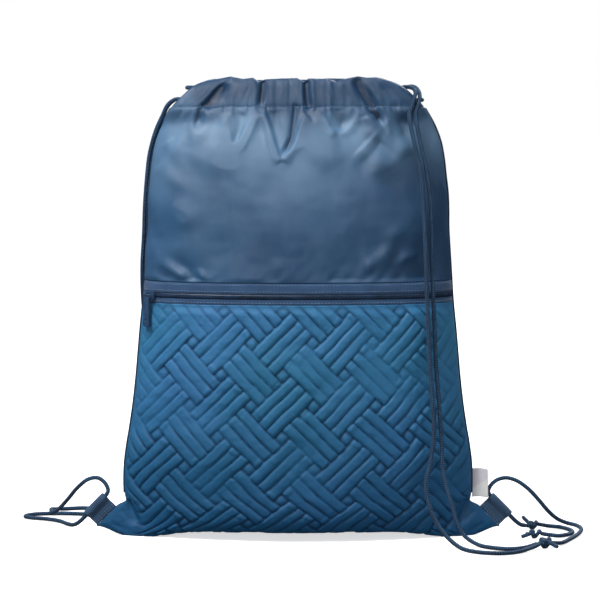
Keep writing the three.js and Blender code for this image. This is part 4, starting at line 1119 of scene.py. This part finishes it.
def hem(node, name, folds, seed, back):
    """The gathered tunnel: a flat tube with its cloth's thickness, open at both ends."""
    stations, sides = 190, 40
    shares = np.linspace(-1, 1, stations + 1)
    turn = np.linspace(0, 2 * math.pi, sides, endpoint=False) + math.pi / sides
    rise, outwards = (0.5 + 0.5 * np.sign(wave) * np.abs(wave)**0.45
                      for wave in (np.sin(turn), np.cos(turn)))
    inwards = 1 - outwards
    bump_x, bump_z = np.array(TOP_BUMPS).T * MM
    rings = []
    for inset in (0.0, THIN_CLOTH):
        heights = HEM_LOW + inset + (HEM_WIDTH - 2 * inset) * rise
        face = Face(up_the_cloth(heights), shares, HEM_LOW + HEM_WIDTH / 2)
        x, y, z = face.x, face.y, face.z
        ripple = hem_ripple(x, z, folds, seed) * outwards[:, None]
        if inset == 0.0:
            shade = crease_shade(ripple * 1.2).T
        ends = face.within(0.94, 1.0)
        sway = 0.7 * MM * noise_field(x, z, 7 * MM, 30 * MM, seed + 2) * inwards[:, None]
        y = y + (sway - ripple) * ends + (inset + inwards * (HEM_DEPTH - 2 * inset))[:, None]
        lift = np.interp(x, bump_x, bump_z)
        if back:
            lift = 1.4 * MM * noise_field(x, 0 * z, 14 * MM, 1, seed + 3)
        z = z + lift * (rise**2)[:, None] * ends
        rings.append(np.stack([x, y, z], axis=-1).transpose(1, 0, 2).reshape(-1, 3))
    size = len(rings[0])
    vertices = np.concatenate(rings)
    start = np.arange(sides)
    after = (start + 1) % sides
    last = stations * sides
    faces = np.concatenate([
        quads(stations + 1, sides, closed=True, flip=True),
        quads(stations + 1, sides, size, closed=True),
        np.stack([start, after, after + size, start + size], axis=-1),
        last + np.stack([after, start, start + size, after + size], axis=-1),
    ])
    if back:
        vertices = vertices * np.array([1, -BACK_FULLNESS, 1])
        faces = faces[:, ::-1]
    along, around = np.meshgrid(shares * 150 * MM, turn * 11 * MM, indexing="ij")
    uv = np.stack([along, around], axis=-1).reshape(-1, 2)
    # Painted shade down in the hem's creases on its outer face; the inner face is half shaded.
    painted_shade = np.concatenate([shade.ravel(), np.full(size, 0.5)])
    piece = make_mesh(name, vertices, faces, np.concatenate([uv, uv]), painted_shade)
    finish_piece(piece, HEM_NYLON, node)


hem("hem_front", "front_hem_tunnel", FRONT_FOLDS, FRONT_SEED, back=False)
hem("hem_back", "back_hem_tunnel", None, BACK_SEED, back=True)


# Zip

def strip(node, name, low, high, material, rows=8, wall=CLOTH, crown=0.0):
    """A strip across the front between two heights, with a crown along its middle."""
    lengths = np.linspace(up_the_cloth(low), up_the_cloth(high), rows)
    face = Face(lengths, np.linspace(-1, 1, 261), HEIGHT / 2)
    side = face.within(0.97, 1.0)
    share = (face.up - lengths[0]) / (lengths[-1] - lengths[0]) + 0 * face.along
    height = crown * np.sin(math.pi * share)**0.5 + waves(face.along, face.up, TAPE_FINE)
    finish_piece(panel(name, face, height * side, wall), material, node)


CHAIN_LOW, CHAIN_HIGH = CHAIN_MIDDLE - CHAIN_WIDTH / 2, CHAIN_MIDDLE + CHAIN_WIDTH / 2
strip("zip_tape_lower", "lower_tape", POCKET_TOP, CHAIN_LOW - GAP, ZIP_TAPE)
strip("zip_tape_upper", "upper_tape", CHAIN_HIGH + GAP, NYLON_LOW, ZIP_TAPE, crown=0.5 * MM)


def surface_frames(height, reach, pitch):
    """Places at even steps across the front at one height, with the directions there."""
    levels = np.array([height - 0.5 * MM, height, height + 0.5 * MM])
    points = Face(up_the_cloth(levels), np.linspace(-reach, reach, 1600), HEIGHT / 2).points()
    lengths = lengths_along(points[1])
    even = np.arange(pitch / 2, lengths[-1], pitch)
    place = at_lengths(even, lengths, points[1])
    along = unit(at_lengths(even, lengths, np.gradient(points[1], axis=0)))
    upward = unit(at_lengths(even, lengths, points[2] - points[0]))
    return place, along, upward, np.cross(along, upward)


def copies(name, shape, faces, frames, shift_out=0.0):
    """Copies of a small shape on frames, in one mesh. Its axes are along, up and outwards."""
    place, *axes = frames
    shape = np.asarray(shape) + np.array([0, 0, shift_out])
    faces = np.asarray(faces)
    offsets = sum(axis[:, None, :] * shape[None, :, i:i + 1] for i, axis in enumerate(axes))
    vertices = (place[:, None, :] + offsets).reshape(-1, 3)
    starts = np.arange(len(place))[:, None, None] * len(shape)
    every = (starts + faces[None, :, :]).reshape(-1, faces.shape[1])
    return make_mesh(name, vertices, every, vertices[:, [0, 2]])


def pill(length, width, height, rings=5, sides=6):
    """A stitch: a short rounded bar lying on the cloth."""
    vertices = []
    for t in np.linspace(-1, 1, rings):
        size = math.sqrt(max(1 - abs(t)**3, 0.05)) / 2
        for turn in np.linspace(0, 2 * math.pi, sides, endpoint=False):
            vertices.append((t * length / 2, math.cos(turn) * width * size, math.sin(turn) * height * size))
    return vertices, [tuple(face) for face in quads(rings, sides, closed=True)]


def seam_stitches(name, height, pitch=3.2 * MM, width=0.55 * MM, rise=0.25 * MM, reach=0.97, back=False):
    """A row of stitches across the front or the back."""
    frames = surface_frames(height, reach, pitch)
    piece = copies(name, *pill(pitch * 0.72, width, 0.5 * MM), frames, shift_out=rise)
    if back:
        changed(piece, lambda at: (at.x, -BACK_FULLNESS * at.y, at.z), flip=True)
    finish_piece(piece, THREAD)


def zip_coils():
    """Two rows of nylon coils that mesh in the middle of the chain."""
    shape, faces = pill(CHAIN_WIDTH * 0.56, 0.95 * MM, 1.5 * MM)
    upright = [(b, a, c) for a, b, c in shape]
    faces = [face[::-1] for face in faces]
    place, along, upward, outward = surface_frames(CHAIN_MIDDLE, 0.985, COIL_PITCH / 2)
    row = np.where(np.arange(len(place)) % 2 == 0, 1, -1)[:, None]
    frames = (place + upward * row * CHAIN_WIDTH * 0.16, along, upward, outward)
    finish_piece(copies("zip_coils", upright, faces, frames, shift_out=0.1 * MM), COIL)


strip("zip_chain", "chain_base", CHAIN_LOW, CHAIN_HIGH, COIL, rows=5, wall=CHAIN_DEPTH / 2)
zip_coils()
seam_stitches("stitches_pocket_edge", POCKET_TOP + 1.6 * MM, width=0.7 * MM)
seam_stitches("stitches_flap_edge", NYLON_LOW - 1.8 * MM)
seam_stitches("stitches_flap_low", CHAIN_HIGH + 3.0 * MM, rise=0.45 * MM)


# Slider and pull

SLIDER_LENGTH, SLIDER_WIDTH, SLIDER_THICK = 12 * MM, 8 * MM, 2 * MM
BRIDGE_THICK, PULL_LENGTH, PULL_WIDTH, PULL_THICK = 1.6 * MM, 29 * MM, 7.5 * MM, 1.6 * MM
BODY_FACE = -(CHAIN_DEPTH - CLOTH) - 2 * GAP
BODY_TOP = BODY_FACE - SLIDER_THICK
KNUCKLE_HOLE = BRIDGE_THICK * math.sqrt(0.5) + 0.5 * MM
KNUCKLE_OUT = KNUCKLE_HOLE + 1.1 * MM
BAR_AT = BODY_TOP - KNUCKLE_OUT - GAP


def sheet_metal(name, outline, thick, bevel, y, holes=()):
    """A plate with rounded edges, cut from an outline in X and Z, with its middle at a Y."""
    curve = bpy.data.curves.new(name, "CURVE")
    curve.dimensions = "2D"
    curve.fill_mode = "BOTH"
    curve.extrude = max(thick / 2 - bevel, 0.05 * MM)
    curve.bevel_depth = bevel
    curve.bevel_resolution = 3
    for ring in [outline, *holes]:
        spline = curve.splines.new("POLY")
        spline.points.add(len(ring) - 1)
        for point, (x, z) in zip(spline.points, ring):
            point.co = (x, z, 0, 1)
        spline.use_cyclic_u = True
    temporary = bpy.data.objects.new(name, curve)
    bpy.context.scene.collection.objects.link(temporary)
    mesh = bpy.data.meshes.new_from_object(temporary.evaluated_get(bpy.context.evaluated_depsgraph_get()))
    bpy.data.objects.remove(temporary)
    piece = bpy.data.objects.new(name, mesh)
    bpy.context.scene.collection.objects.link(piece)
    return changed(piece, lambda at: (at.x, y - at.z, at.y))


def rounded(width, low, high, corner, narrow=1.0):
    """A rectangle with round corners, narrower at its top by a share."""
    ring = []
    side = width / 2 - corner
    for cx, cz, start in ((side, high - corner, 0), (-side, high - corner, 90),
                          (-side, low + corner, 180), (side, low + corner, 270)):
        for turn in np.radians(np.linspace(start, start + 90, 7)):
            x, z = cx + corner * math.cos(turn), cz + corner * math.sin(turn)
            ring.append((x * (1 + (narrow - 1) * (z - low) / (high - low)), z))
    return ring


def circle(z, radius):
    """A round hole in the middle of a plate."""
    return [(radius * math.cos(turn), z + radius * math.sin(turn))
            for turn in np.linspace(0, -2 * math.pi, 20, endpoint=False)]


def on_slider_seat(piece):
    """Moves a piece from the slider's own frame to its place and turn on the chain."""
    width, depth, bulge = section_at(CHAIN_MIDDLE)
    angle = math.asin(SLIDER_AT * HALF_WIDTH / width)
    before, middle, after = (
        Vector((width * math.sin(turn), -(GAP / 2 + CLOTH + depth * math.cos(turn)**bulge), CHAIN_MIDDLE))
        for turn in (angle - 0.02, angle, angle + 0.02))
    turned = Matrix.Rotation(math.atan2(after.y - before.y, after.x - before.x), 3, "Z")
    return changed(piece, lambda at: middle + turned @ at)


def merged(name, pieces):
    """One piece out of several meshes."""
    vertices, faces = [], []
    for piece in pieces:
        start = len(vertices)
        vertices += [tuple(vertex.co) for vertex in piece.data.vertices]
        faces += [tuple(start + i for i in polygon.vertices) for polygon in piece.data.polygons]
        bpy.data.objects.remove(piece)
    return make_mesh(name, vertices, faces, np.array(vertices)[:, [0, 2]])


def bent_tube(name, points, radius, sides=12):
    """A smooth round wire through points in metres."""
    route, _ = smooth_route(np.array(points) / MM, FINE_STEP)
    return braided_tube(name, route, radius / 0.97, sides=sides, carriers=1, pitch=1.0, ends=0.7)


def slider():
    """The slider's body with its bridge."""
    half = SLIDER_LENGTH / 2
    outline = rounded(SLIDER_LENGTH, -SLIDER_WIDTH / 2, SLIDER_WIDTH / 2, 2.2 * MM)
    body = sheet_metal("slider_body", outline, SLIDER_THICK, 0.5 * MM, (BODY_FACE + BODY_TOP) / 2)
    foot, knee = BODY_TOP + 0.6 * MM, (BODY_TOP + BAR_AT) / 2
    arch = [(half * share, y, 0)
            for share, y in ((-0.78, foot), (-0.66, knee), (-0.4, BAR_AT), (0, BAR_AT - 0.1 * MM),
                             (0.4, BAR_AT), (0.66, knee), (0.78, foot))]
    bridge = bent_tube("slider_bridge", arch, BRIDGE_THICK / 2)
    finish_piece(on_slider_seat(merged("slider_metal", [body, bridge])), PAINT, "zip_slider")


def pull():
    """The pull's tongue with a raised panel and a hole, hung on the bridge by two eyes."""
    top = -KNUCKLE_HOLE - 0.4 * MM
    outline = rounded(PULL_WIDTH, -PULL_LENGTH, top, 2.4 * MM, narrow=0.72)
    hole = circle(-PULL_LENGTH + 5.4 * MM, 1.5 * MM)
    rim = [(x * 0.62, z * 0.62 - 0.38 * 14 * MM)
           for x, z in rounded(PULL_WIDTH, -PULL_LENGTH + 8 * MM, top, 2 * MM)]
    parts = [sheet_metal("pull_tongue", outline, PULL_THICK, 0.45 * MM, BAR_AT, [hole]),
             sheet_metal("pull_panel", rim, 0.7 * MM, 0.25 * MM, BAR_AT - PULL_THICK / 2)]
    wire = (KNUCKLE_HOLE + KNUCKLE_OUT) / 2
    for x in (-1.05 * MM, 1.05 * MM):
        ring = [(x, BAR_AT + wire * math.cos(turn), wire * math.sin(turn))
                for turn in np.linspace(0, 2 * math.pi, 25)]
        parts.append(bent_tube("pull_eye", ring, 0.52 * MM, sides=10))
    finish_piece(on_slider_seat(merged("pull_metal", parts)), PAINT, "zip_pull", "puller")


slider()
pull()


# Side seams

def side_seam(name, side):
    """The rolled edge where the front and the back are sewn together."""
    points = [(side * (section_at(height)[0] + SEAM_OUT), 0, height)
              for height in np.linspace(SECTIONS[0][0] * HEIGHT, HEM_LOW, 24)]
    finish_piece(bent_tube(name, points, SEAM_ROLL), NYLON)


side_seam("side_seam_right", 1)
side_seam("side_seam_left", -1)


# Webbing tabs

def folded_line(centre, middle):
    """Places outwards and across of the webbing's fold: a leg, the loop round the cord, a leg."""
    eye = middle + WEBBING / 2
    leg = [(share * (centre - eye * 1.2), GAP / 2 + WEBBING / 2 + 0.35 * MM * math.sin(math.pi * share))
           for share in np.linspace(0, 1, 9)]
    loop = [(centre + middle * math.cos(turn), middle * math.sin(turn))
            for turn in np.radians(np.linspace(140, -140, 17))]
    return np.array(leg + loop + [(a, -b) for a, b in reversed(leg)])


def webbing_tab(node, side):
    """Webbing folded over the cord: a flat loop drawn along the cut corner, with rounded edges."""
    tip, top = (np.array([FOOT[row][2] * HALF_WIDTH, 0, FOOT[row][3] * FOOT_HEIGHT]) for row in (0, 3))
    along = unit(top - tip)
    outward = np.array([along[2], 0, -along[0]])
    normal = np.cross(along, outward)
    middle = CORD / 2 + EYE_CLEARANCE + WEBBING / 2
    line = folded_line(TAB_REACH - middle - WEBBING / 2, middle)
    start = tip - along * (TAB_WIDTH - np.linalg.norm(top - tip)) / 2 + outward * GAP
    tangent = unit(np.gradient(line, axis=0))
    across = np.stack([-tangent[:, 1], tangent[:, 0]], axis=-1)
    width = np.linspace(0, 1, 25)
    thin_edge = 0.35 + 0.65 * (1 - np.abs(2 * width - 1)**8)[None, :, None]
    grids = []
    for offset in (WEBBING / 2, -WEBBING / 2):
        plane = line[:, None, :] + across[:, None, :] * offset * thin_edge
        grids.append(start + outward * plane[..., 0:1] + normal * plane[..., 1:2]
                     + along * (TAB_WIDTH * width)[None, :, None])
    uv = np.stack(np.meshgrid(width * TAB_WIDTH, lengths_along(line)), axis=-1)
    tab = shell(node + "_webbing", *grids, uv)
    stitches = []
    count = int(TAB_WIDTH / TAB_STITCH)
    steps = along * (TAB_WIDTH * (np.arange(count) + 0.5) / count)[:, None]
    for row in TAB_ROWS:
        for out in (normal, -normal):
            place = start + outward * row + steps + out * (GAP / 2 + WEBBING + 0.2 * MM)
            frames = (place, *(np.tile(axis, (count, 1)) for axis in (along, outward, out)))
            stitches.append(copies("tab_stitches", *pill(2.0 * MM, 0.55 * MM, 0.45 * MM), frames))
    seam = merged(node + "_stitches", stitches)
    for piece in (tab, seam):
        if side < 0:
            changed(piece, lambda at: (-at.x, at.y, at.z), flip=True)
    finish_piece(tab, WEBBING_CLOTH, node)
    finish_piece(seam, THREAD)


webbing_tab("tab_right", 1)
webbing_tab("tab_left", -1)


# Side label

def side_label():
    """A satin loop folded in half, its fold outwards and its plain faces a little apart."""
    lean = math.radians(LABEL_LEAN)
    end = section_at(LABEL_RISE + LABEL_HEIGHT / 2)[0]
    share = np.linspace(0, 1, 40)[None, :]
    height = np.linspace(0, 1, 28)[:, None]
    from_fold = np.abs(2 * share - 1)
    reach = LABEL_REACH * (1 - from_fold)
    apart = np.sign(0.5 - share) * 0.42 * MM * np.sin(math.pi * from_fold * 0.9)
    wave = 0.5 * MM * noise_field(reach, height * LABEL_HEIGHT, 6 * MM, 9 * MM, 71)
    local_x = reach * (1 - 0.02 * height)
    local_y = apart + wave * (reach / LABEL_REACH)
    x = end + 0.8 * MM + math.cos(lean) * local_x + math.sin(lean) * local_y
    y = -math.sin(lean) * local_x + math.cos(lean) * local_y
    z = LABEL_RISE + LABEL_HEIGHT * height + 0.8 * MM * np.sin(3 * reach / LABEL_REACH)
    outer = np.stack([x, y, z], axis=-1)
    normal = unit(np.cross(np.gradient(outer, axis=1), np.array([0, 0, 1.0])))
    uv = np.stack(np.broadcast_arrays(share * 2 * LABEL_REACH, height * LABEL_HEIGHT), axis=-1)
    piece = shell("plain_label", outer, outer - normal * SATIN_THICK, uv)
    finish_piece(piece, SATIN, "side_label")


side_label()


# Seams under the hem

for name, back in (("stitches_hem_front", False), ("stitches_hem_back", True)):
    seam_stitches(name, HEM_LOW + 2.2 * MM, pitch=3.0 * MM, width=0.5 * MM, rise=0.1 * MM, reach=0.93,
                  back=back)
